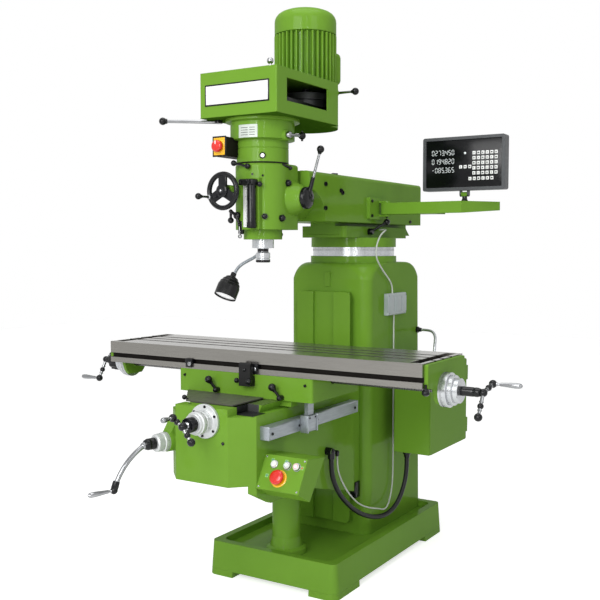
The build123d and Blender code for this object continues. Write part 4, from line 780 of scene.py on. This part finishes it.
feed_foot = Vector((10, -599, 1494))
hub_knob(feed_foot, front, 9, 10, 2)
bar(feed_foot + Vector((0, 24, 0)), feed_foot, 4, 4)
ball_lever(feed_foot - Vector((0, 6, 0)), feed_foot + Vector((-54, -7, 12)), 4, 3.4, small_ball_size, 2)
piece("feed_engage_handle", steel_and_black, "feed", ["feed_lever"])


# Head: plates, motor, fasteners, depth stop, handwheel, switch and lamp

def curved_plate(centre, radius, first, last, low, high, thickness, index=0, steps=14):
    """Plate bent round an upright axis, from one angle to another, counted from the front to the right."""
    part = bmesh.new()
    start = math.radians(first)
    corners = [
        part.verts.new((reach * math.sin(start), -reach * math.cos(start), height))
        for reach, height in (
            (radius, low), (radius + thickness, low), (radius + thickness, high), (radius, high),
        )
    ]
    face = part.faces.new(corners)
    bmesh.ops.spin(
        part, geom=[face] + face.edges[:] + corners, cent=(0, 0, 0), axis=axis_up,
        angle=math.radians(last - first), steps=steps,
    )
    add(part, index, Matrix.Translation(centre))


def around(count, radius, origin, axis, size, index=0, long_every=0, longer=1.6):
    """Graduation lines round a drum: size is (width, length, thickness), running along the axis."""
    frame_turn = pose(origin, axis)
    for line in range(count):
        width, length, thickness = size
        if long_every and line % long_every == 0:
            length = length * longer
        spin = Matrix.Rotation(math.tau * line / count, 4, "Z")
        slab(
            (radius - thickness, -width / 2, 0), (radius + thickness, width / 2, length), 0, index,
            turn=frame_turn @ spin,
        )


spindle_y = -497

slab((-134.5, -645.4, 1696), (127.5, -643.5, 1767.5), 1.2, 1)
slab((-129.5, -646.4, 1701), (122.5, -644.6, 1762.5), 0.8, 0)
piece("front_name_plate", (white_plastic, black_plastic), "head")

spindle = (0, spindle_y, 0)
curved_plate(spindle, 110.8, -11, 25.5, 1589, 1632, 1.4, 0)
for row in range(4):
    low = 1597 + row * 8
    for first, last in ((-6, 8), (11, 21)):
        curved_plate(spindle, 112, first, last, low, low + 1.6, 0.5, 1)
piece("speed_plate", (grey_plate, dark_ink), "head")

sight_turn = math.radians(34)
sight_way = Vector((math.sin(sight_turn), -math.cos(sight_turn), 0))
sight_place = Vector((0, spindle_y, 1530.5)) + sight_way * 90
lathe([(10.5, -1), (10.5, 3.2), (9.4, 4.4), (7.2, 4.4), (6.6, 2.4)], sight_place, sight_way, 0, 32)
# The lens takes the glowing lamp glass, a painted glint, though the sight glass is no lamp.
lathe([(6.8, 1.0), (6.4, 2.6), (3.6, 3.6), (0, 3.9)], sight_place, sight_way, 1, 32)
piece("oil_sight_glass", (black_steel, lamp_glass), "head")

# Painted shade: a dark ring for the shadow gap between the gear case and the quill housing.
lathe([(84, 0), (90.4, 0), (90.4, 4), (84, 4)], (0, spindle_y, 1507), axis_up, 0, 64)
piece("gear_case_painted_gap_shade", (painted_shade_black,), "head")

motor_y, housing_low, housing_top = -215, 1659, 1809
# Painted shade: a darker green skin on the belt housing's underside and under the motor.
slab((-155.8, -643.8, housing_low - 1), (155.8, -242, housing_low + 0.4))
lathe([(0, -0.6), (120.8, -0.6), (120.8, 0.6), (0, 0.6)], (0, motor_y, housing_low), axis_up, 0, 64)
piece("belt_housing_painted_shade", (painted_shade_green,), "head")

motor_foot = Vector((0, motor_y, housing_top))
lathe([
    (16, 0), (114, 0), (114, 5), (97, 9), (97, 186), (104, 190), (104, 196), (0, 196),
], motor_foot, axis_up, 0, 72)
motor_place = Matrix.Translation(motor_foot)
fin_count, terminal_turn = 36, math.radians(56)
for fin in range(fin_count):
    fin_turn = Matrix.Rotation(math.tau * (fin + 0.5) / fin_count, 4, "Z")
    slab((94, -2.9, 4), (115, 2.9, 188), 1.8, 0, 2, motor_place @ fin_turn)
slab((84, -46, 14), (130, 46, 133), 20, 0, 5, motor_place @ Matrix.Rotation(terminal_turn, 4, "Z"))
lathe([
    (107, 190), (112.6, 190), (114, 191.4), (114, 236), (112.8, 246), (109, 255), (102, 264), (92, 271),
    (78, 276.6), (58, 280), (30, 281.6), (0, 282),
], motor_foot, axis_up, 0, 72)
piece("finned_motor", (green_paint,), "head", ["motor"])

for centre, axis, radius in (
    ((53, -592, 1433), (0.45, -0.9, 0), 10), ((58, -571, 1326), (0.6, -0.8, 0), 11),
    ((94, -486, 1441), to_right, 12.8), ((91.4, -519, 1321), (0.97, -0.23, 0), 12.8),
):
    dome_nut(centre, axis, radius, radius * 1.15)
for centre, axis in (((20.6, -588.6, 1468), (0.22, -0.975, 0)), ((53, -574.6, 1463), (0.56, -0.83, 0))):
    cap_screw(centre, axis, 4, 1.6)
bar((90, -512, 1503), (99, -476, 1494), 4.5, 4.5)
ball((99, -474, 1493), 7)
ball((50, -462, 1266), 9)
bar((50, -462, 1266), (46, -470, 1286), 4, 4)
piece("head_dome_nuts", (black_steel,), "head")

lathe([
    (36.1, -56), (60, -56), (60, -44), (57, -40), (46, -14), (41, -8), (39, -5), (38, -0.8), (36.1, -0.8),
], (138, lever_y, lever_z), to_right, 0, 56)
piece("lever_boss_flare", (green_paint,), "head")

for inner, outer, low, high in ((18.6, 25.3, 1170.5, 1178), (19.1, 19.4, 1206, 1216.4)):
    lathe([(inner, low), (outer, low), (outer, high), (inner, high)], spindle, axis_up, 0, 48)
piece("spindle_nose_rings", (black_steel,), "spindle")

lathe([(0, -1), (9, -1), (9, 4), (6, 6), (4.4, 8), (4.4, 33)], (75, -560, housing_top), axis_up, 0, 28)
ball((75, -560, 1843), 11.5)
piece("cover_knob", (polished_steel,), "head")

stop_x, stop_y = 32, -611
slab((-12, -627, 1429), (48, -594, 1450), 5, 0, 3)
slab((21.5, -627, 1286), (42.5, -594, 1306), 4, 0, 3)
lathe([(0, 0), (13.4, 0), (15, 1.6), (15, 160), (13, 163), (0, 164)], (stop_x, stop_y, 1286), axis_up, 1)
lathe([(0, 0), (8, 0), (8, 5), (5, 8), (0, 8.5)], (stop_x, -627, 1440), front, 1, 24)
lathe([(0, 0), (6, 0), (6, 3), (0, 3.5)], (0, -627, 1440), front, 1, 24)
slab((-11, -599, 1290), (7, -594, 1432), 1, 2)
for line in range(28):
    reach = 9 if line % 5 == 0 else 5
    slab((7 - reach, -599.5, 1296 + line * 4.8), (6.4, -598.8, 1296.9 + line * 4.8), 0, 3)
piece("depth_stop_column", (black_iron, black_steel, white_plastic, dark_ink), "head",
      ["depth_stop"])

trip = [Vector((x, -592, z)) for x, z in ((-44, 1330), (-68, 1345), (-68, 1314), (-32, 1299))]
hub_knob((-44, -578, 1330), front, 13, 18, 0)
bar(trip[0], trip[1], 6, 5)
bar(trip[1], trip[2], 4.5, 4.5)
ball(trip[1], 7)
ball(trip[2], 10.5)
bar(trip[0], trip[3], 6, 4.5)
ball(trip[3], 7)
bar(trip[3], (-30, -592, 1264), 2.6, 2.6, 1)
lathe([(4, -2), (7, -2), (7, 2), (4, 2), (4, -2)], (-30, -592, 1259), front, 1, 24)
slab((-41, -589, 1266), (-22, -575, 1312), 4, 0)
piece("feed_trip_lever", (black_steel, polished_steel), "head")

wheel = Vector((-50, -660, 1410))
rim_turns = [math.tau * step / 14 for step in range(15)]
rim = [(56.5 + 8.5 * math.cos(turn), 9 * math.sin(turn)) for turn in rim_turns]
lathe(rim, wheel, front, 0, 56)
lathe([
    (0, -10), (20, -10), (22, -8.6), (22, 8.6), (20, 10), (9, 10), (8, 12), (5, 13.5), (0, 13.5),
], wheel, front, 0)
lathe([(0, 11), (4.5, 11), (4.5, 15.5), (3, 16.5), (0, 16.5)], wheel, front, 1, 20)
for turn in (90, 210, 330):
    spoke = pose(wheel, front) @ Matrix.Rotation(math.radians(turn), 4, "Z")
    slab((10, -16, -5), (56, 16, 5), 2.4, 0, 2, spoke)
bar(wheel, wheel + Vector((0, 68, 0)), 9, 9, 1)
knob_circle, knob_turn = 56, math.radians(20)
knob = wheel + Vector((-knob_circle * math.cos(knob_turn), 0, -knob_circle * math.sin(knob_turn)))
lathe([(0, 4), (8, 4), (8, 10), (5, 12), (4, 14), (4, 58)], knob, front, 1, 24)
ball(knob + Vector((0, -65, 0)), 11, 0, front)
lathe([(4, 48), (6.4, 49), (6.8, 56), (0, 58)], knob, front, 0, 24)
piece("fine_feed_handwheel", (black_steel, polished_steel), "fine_feed", ["fine_feed_wheel"])

slab((-106.5, -641.4, 1526.5), (-49.5, -639.6, 1595.5), 0.8, 1, 2)
slab((-101, -642.6, 1532), (-55, -640.4, 1590), 1.0, 0, 3)
switch_x, switch_z = -78, 1561
lathe([(18.4, 0), (23, 0), (23, 1.6), (21.6, 2.4), (18.4, 2.4)], (switch_x, -642.2, switch_z), front, 0)
piece("switch_face", (yellow_plastic, black_plastic), "head")

switch_foot = Vector((switch_x, -640.3, switch_z))
bar(switch_foot + Vector((0, 18, 0)), switch_foot, 4, 4)
lathe([
    (0, 2), (13, 2), (13, 7), (18, 9), (20.4, 12), (20.4, 17), (18.6, 21), (15, 23.4), (12.4, 23), (9, 24.2),
    (0, 24.8),
], switch_foot, front, 0, 40)
slab((-80, -665.3, 1567), (-76, -662, 1578), 0.6, 1)
piece("switch_mushroom", (red_plastic, white_plastic), "switch", ["switch_knob"])

lamp_route = [
    (-0.046, -0.431, 1.268), (-0.046, -0.431, 1.232), (-0.049, -0.441, 1.206), (-0.060, -0.458, 1.187),
    (-0.080, -0.475, 1.174), (-0.102, -0.486, 1.160), (-0.119, -0.491, 1.143), (-0.128, -0.495, 1.122),
]
start_piece(ribbed_tube("lamp_neck", lamp_route, 0.006, 0.0042, 0.0011)[0], 1)
lathe([(0, 0), (12, 0), (12, 7), (9, 12), (8, 18), (0, 18)], (-46, -431, 1282), (0, 0, -1), 0)
crown, lens = Vector((-129, -495, 1125)), Vector((-138, -535, 1047))
way = (lens - crown).normalized()
depth = (lens - crown).length
lathe([
    (0, -6), (9, -6), (10, -3), (10, 7), (14, 10), (22, 14), (24, 17), (23, 19), (29, 23), (31, 26), (30, 28),
    (35, 33), (37, 37), (36, 39), (39, 45), (40, 50), (40, depth), (38, depth), (36, depth - 8),
], crown, way, 0, 48)
lathe([(37, depth - 6), (20, depth - 4), (0, depth - 3.4)], crown, way, 2, 48)
piece("work_lamp_on_neck", (black_iron, aluminium, lamp_glass), "head", ["work_lamp"])

for y, z in ((-284, 1449), (-284, 1363), (-172, 1431), (-160, 1424)):
    cap_screw((126, y, z), to_right, 8.5, 6)
cap_screw((126, 432, 1329), to_right, 7, 5)
for x, y in ((65, -345), (104, -188), (110, -178)):
    cap_screw((x, y, 1490), axis_up, 7, 5)
for y, z in ((52, 1345), (180, 1345), (52, 1402), (180, 1402)):
    cap_screw((140, y, z), to_right, 6, 5)
piece("ram_screws", (black_steel,), "ram")


# Display

face_y = 155
lit_front, lit_back = face_y - 1.6, face_y - 1.0
digit_left, digit_pitch, digit_width, digit_height = 349, 13.6, 8.2, 18
slab((325, 153.8, 1450.5), (629, 155.4, 1629.5), 0.6, 0)
segments = {
    "a": (0.5, 1.0, True), "g": (0.5, 0.5, True), "d": (0.5, 0.0, True),
    "f": (0.0, 0.75, False), "b": (1.0, 0.75, False), "e": (0.0, 0.25, False), "c": (1.0, 0.25, False),
}
lit = {
    "0": "abcdef", "1": "bc", "2": "abged", "3": "abgcd", "4": "fgbc", "5": "afgcd", "6": "afgecd",
    "7": "abc", "8": "abcdefg", "9": "abcfgd", "-": "g",
}


def seven_segments(digits, low):
    """Row of digits made of lit bars on the display's face."""
    for place, digit in enumerate(digits):
        for name in lit[digit]:
            across, up, flat = segments[name]
            x = digit_left + place * digit_pitch + across * digit_width
            z = low + up * digit_height
            half_x, half_z = (digit_width * 0.36, 0.8) if flat else (0.8, digit_height * 0.19)
            slab((x - half_x, lit_front, z - half_z), (x + half_x, lit_back, z + half_z), 0, 1)


point_x = digit_left + 3.72 * digit_pitch
for row, digits in enumerate(("0273450", "0194820", "-085365")):
    low = 1574 - row * 33
    seven_segments(digits, low)
    slab((point_x, lit_front, low - 1), (point_x + 1.6, lit_back, low + 0.6), 0, 1)
keys = [(520.4 + 17.4 * column, 1577.7 - 18.9 * row) for column in range(6) for row in range(5)]
keys += [(505 + 17.3 * column, 1481.4) for column in range(6)]
keys += [(467 + 18.2 * column, 1526.8) for column in range(3)]
for place, (x, z) in enumerate(keys):
    slab((x - 6.2, face_y - 3.4, z - 6.4), (x + 6.2, face_y - 0.6, z + 6.4), 1.4, 2, 2)
    mark = 1.2 + (place * 7) % 3
    slab((x - mark, face_y - 3.8, z - 2.2), (x + mark, face_y - 3.2, z + 2.2), 0, 3)
lathe([(0, 0), (4.4, 0), (4.4, 1.4), (3, 2.6), (0, 3)], (484, face_y - 1, 1578.3), front, 1, 24)
piece("display_face", (screen_glass, digit_glow, white_plastic, dark_ink), "display")

lathe([(13, 0), (14, 1), (12, 5), (9.6, 10), (9.3, 19), (9.3, 20)], (477, 172, 1396.3), axis_up, 0, 32)
piece("display_neck_sleeve", (black_plastic,), "arm")


# Knee, saddle and table

flange = Vector((20, -850, 672))
lathe([
    (12.6, 0.2), (54, 0.2), (55, 1.4), (55, 10.6), (53.6, 12), (39, 12), (38, 12.6), (37, 14), (37, 19.4),
    (35.8, 20), (35.8, 21), (37, 21.6), (37, 33), (34, 36), (12.6, 36),
], flange, front, 0, 64)
for screw in range(6):
    turn = math.radians(60 * screw + 24)
    cap_screw(flange + Vector((47.5 * math.cos(turn), -12, 47.5 * math.sin(turn))), front, 4.6, 2.4, 1)
piece("cross_feed_flange", (bright_alloy, black_steel), "knee", ["cross_screw_flange"])

control_nose = Vector((0, -790, 462))
control_way = Vector((0, 58, 99)).normalized()
control_out = Vector((0, -control_way.z, control_way.y))


def on_control(x, along, out=0.0):
    return control_nose + Vector((x, 0, 0)) + control_way * along + control_out * out


panel_turn = Matrix.Translation(control_nose) @ Matrix((
    (1, 0, 0, 0), (0, control_way.y, control_out.y, 0), (0, control_way.z, control_out.z, 0), (0, 0, 0, 1),
))
lamp_x, start_x, stop_button_x, button_line = 213, 263, 298, 85
emergency_foot = on_control(244, 41)
lathe([
    (15, 0), (28, 0), (28, 1.6), (26, 2.6), (16, 2.6), (15, 1.6),
], emergency_foot, control_out, 0, 48)
for x in (start_x, stop_button_x, lamp_x):
    lathe([
        (11.8, 0), (14, 0), (14, 1.6), (13.2, 3), (11.8, 3),
    ], on_control(x, button_line), control_out, 1, 32)
lathe([(11.6, 0), (11.6, 5), (9, 8.6), (0, 10.6)], on_control(lamp_x, button_line), control_out, 4, 32)
for x, along, tint in ((203, 98, 2), (254, 99, 2), (316, 85, 3), (197, 46, 2)):
    slab((x - 6, along - 6, 0), (x + 6, along + 6, 0.5), 0.2, 5, 1, panel_turn)
    slab((x - 4.4, along - 0.8, 0.4), (x + 4.4, along + 0.8, 0.8), 0, tint, turn=panel_turn)
    slab((x - 0.8, along - 4.4, 0.4), (x + 0.8, along + 4.4, 0.9), 0, tint, turn=panel_turn)
for x in (178, 320):
    for along in (8, 107):
        cap_screw(on_control(x, along), control_out, 3.2, 1.6, 1)
piece(
    "control_panel_fittings",
    (yellow_plastic, satin_chrome, blue_ink, red_plastic, white_plastic, pale_green_label),
    "knee",
)

bar(emergency_foot - control_out * 30, emergency_foot + control_out * 10, 4.8, 4.8, 1)
lathe([
    (0, 6.8), (13, 6.8), (14, 9), (22, 11), (24, 14), (24, 18), (22.4, 21.6), (18, 24.2), (10, 25.3),
    (0, 25.4),
], emergency_foot, control_out, 0, 48)
piece("emergency_mushroom", (red_plastic, black_plastic), "emergency", ["emergency_stop"])
for name, body, x, slot, ink in (
    ("start_cap", "start", start_x, "green_plastic", green_plastic),
    ("stop_cap", "stop", stop_button_x, "black_plastic", red_plastic),
):
    cap_foot = on_control(x, button_line)
    bar(cap_foot - control_out * 30, cap_foot + control_out * 8, 4.8, 4.8, 1)
    lathe([
        (0, 6.4), (10.6, 6.4), (11, 7), (11, 9.4), (10, 11.6), (8.4, 12.4), (0, 12.1),
    ], cap_foot, control_out, 0, 36)
    lathe([(6.4, 11.8), (7.4, 12.7), (8.2, 12.6), (8.4, 11.8)], cap_foot, control_out, 2, 36)
    piece(name, (white_plastic, black_plastic, ink), body, [body + "_button"])

for y0, y1 in ((-765.4, -757), (-184, -175.6)):
    slab((169, y0, 611.4), (205, y1, 655.6), 1.6, 0)
for y, head in ((-745, 3), (-585, 0.3), (-466, 0.3), (-200, 3)):
    cap_screw((204, y, 631), to_right, 5, head, 1)
lathe([(0, 0), (5, 0), (5, 3), (2.4, 5), (0, 5)], (87.5, -850, 606), front, 1, 20)
cap_screw((-64, -826, 715), axis_up, 7, 0.5, 1)
for z in (340, 420, 510, 600):
    cap_screw((140, -96, z), to_right, 4.4, 2.4, 1)
slab((122, -84, 254), (146, -48, 316), 2, 1)
for x, y, z, low, radius, sides in ((190, -348, 494, 468.6, 14, 28), (188, -302, 482, 469, 8, 24)):
    bar((170, y, z), (x, y, z), radius, radius, 1, sides)
    ball((x, y, z), radius, 1)
    bar((x, y, low), (x, y, z), radius - 1, radius - 1, 1, sides)
piece("knee_screws", (aluminium, black_steel), "knee")

slab((91, -798, 690.2), (94.6, -728, 713.6), 1, 0)
slab((94.6, -798, 690.1), (166, -729, 691.8), 0.5, 0)
piece("knee_apron", (hose_rubber,), "knee")

for hand in (-1, 1):
    x0, x1 = sorted((hand * 95.4, hand * 151.6))
    slab((x0, -726.8, 715), (x1, -60.4, 715.1), 0, 0)
    x0, x1 = sorted((hand * 95.2, hand * 139.6))
    slab((x0, -727.5, 690.2), (x1, -726.8, 715), 0, 1)
piece("knee_rail_faces", (ground_steel, cast_iron), "knee")

slab((231.6, -577, 619), (233.6, -519, 662), 1, 0)
slab((204.6, -580, 606), (236, -574.6, 664), 1.2, 0)
slab((204.6, -521.6, 606), (236, -516.4, 664), 1.2, 0)
for y in (-566, -530):
    cap_screw((232.6, y, 655), to_right, 3.4, 2.4, 1)
ball((48, -655, 774), 11, 1)
bar((44, -648, 774), (48, -655, 774), 5, 5, 1)
ball((-125, -779, 725), 8.5, 1)
bar((-125, -779, 723), (-110, -779, 720.6), 2.6, 2.6, 1)
ball((-12, -640, 772), 9, 1)
bar((-12, -640, 772), (8, -640, 776), 4, 4, 1)
lathe([(0, 0), (6, 0), (6, 4), (3, 6), (0, 6)], (28, -651, 812), front, 1, 6)
for x in (-250, 250):
    cap_screw((x, -622, 772), front, 5, 4, 1)
piece("saddle_fittings", (aluminium, black_steel), "saddle")

for x in (-228, 51):
    slab((x - 16, -630, 812.6), (x + 16, -610, 829), 2, 0)
    slab((x - 13, -631.2, 800), (x + 13, -622.7, 832), 2, 0)
    lathe([(0, 0), (8, 0), (8, 1), (7, 1.6), (0, 1.6)], (x + 4, -631, 813), front, 1, 6)
piece("trip_dogs", (black_steel, polished_steel), "table")

# Painted shade: dark strips line the table's front groove and the far walls of its T-slots.
shades = [(-608.6, 814.1, -608.2, 829.9), (-622.4, 829.5, -608.6, 829.9), (-622.4, 814.1, -608.6, 814.5)]
for y in (-525.5, -462.5, -399.5):
    shades += [(y + 7.6, 856.2, y + 7.9, 871.4), (y - 13.4, 844.1, y + 13.4, 844.4)]
for y0, z0, y1, z1 in shades:
    slab((table_left + 0.1, y0, z0), (table_right - 0.1, y1, z1))
piece("table_slot_shade", (painted_shade_black,), "table")


def screw_thread(start, axis, length, root, crest, pitch):
    """Trapezoidal thread drawn as close rings on a screw's plain rod."""
    outline = []
    for turn in range(int(length / pitch)):
        along = turn * pitch
        outline += [
            (root, along), (root, along + pitch * 0.4),
            (crest, along + pitch * 0.55), (crest, along + pitch * 0.85),
        ]
    lathe(outline, start, axis, 0, 28)


screw_thread((-604, screw_y, screw_z), to_right, 1266, 12.54, 13.1, 6)
piece("table_screw_thread", (oiled_steel,), "table_drive")

screw_thread((0, -350, 150), axis_up, 188, 17.05, 17.9, 8)
piece("elevating_screw_thread", (oiled_steel,), "elevating")

slab((243, 82, 445), (250, 408, 738), 1.0)
for z in (540, 660):
    slab((250, 96, z - 17), (257, 394, z + 17), 1.5, 1)
for y in (106, 158, 210):
    slab((257, y, 620), (318, y + 46, 702), 3.0, 2)
    slab((318, y + 9, 638), (334, y + 37, 684), 2.0, 2)
    for z in (628, 694):
        for step in (9, 23, 37):
            cap_screw((318, y + step, z), to_right, 4, 1.5, 1, 10)
slab((257, 286, 612), (340, 388, 708), 4.0, 3)
terminal_pitch = 16.5
for terminal in range(17):
    y = 104 + terminal * terminal_pitch
    slab((257, y, 514), (300, y + 15, 566), 1.5, 4 if terminal % 4 else 2)
    for z in (526, 554):
        cap_screw((300, y + 7.5, z), to_right, 3.4, 0.8, 1, 10)
piece(
    "cabinet_switchgear", (grey_paint, aluminium, black_plastic, black_steel, display_plastic), "frame",
)

lathe([
    (4, 22), (4, 8), (7, 5), (11, 1), (12.4, -4), (11.6, -9), (7, -13), (0, -14),
], (671, -611, 787), axis_up, 0, 28)
piece("table_lock_knob", (black_plastic,), "table")

for count, radius, gap, size, index, long_every in (
    (100, 55, 6, (0.8, 7, 0.12), 0, 5), (60, 47, 27.4, (1.6, 11, 0.5), 1, 0),
):
    for dial_x, hand in ((right_dial_x, 1), (left_dial_x, -1)):
        place = (dial_x + hand * gap, screw_y, screw_z)
        around(count, radius, place, (hand, 0, 0), size, index, long_every)
piece("table_dial_lines", (dark_ink, satin_chrome), "table_drive")

around(60, 37.4, (cross_x, flange_front - 3, cross_z), front, (0.8, 5, 0.12), 0, 5)
piece("cross_dial_lines", (dark_ink,), "cross_feed")

around(50, 32, crank_root + crank_way * 522.6, crank_way, (0.8, 6, 0.12), 0, 5)
around(44, 29, crank_root + crank_way * 541, crank_way, (1.6, 18, 0.5), 1)
piece("knee_dial_lines", (dark_ink, bright_alloy), "knee_drive")

around(180, 166, (0, 160, 1207), axis_up, (0.9, 9, 0.1), 0, 5)
piece("turret_ring_lines", (dark_ink,), "turret")


# Column

for low, high in ((80, 132), (144, 196), (208, 248)):
    slab((196.8, low, 964), (199.4, high, 1026), 1.2, 0)
for y in (94, 246):
    for z in (960, 1030):
        cap_screw((196, y, z), to_right, 3, 2, 1)
piece("junction_box_ribs", (grey_paint, black_steel), "frame")
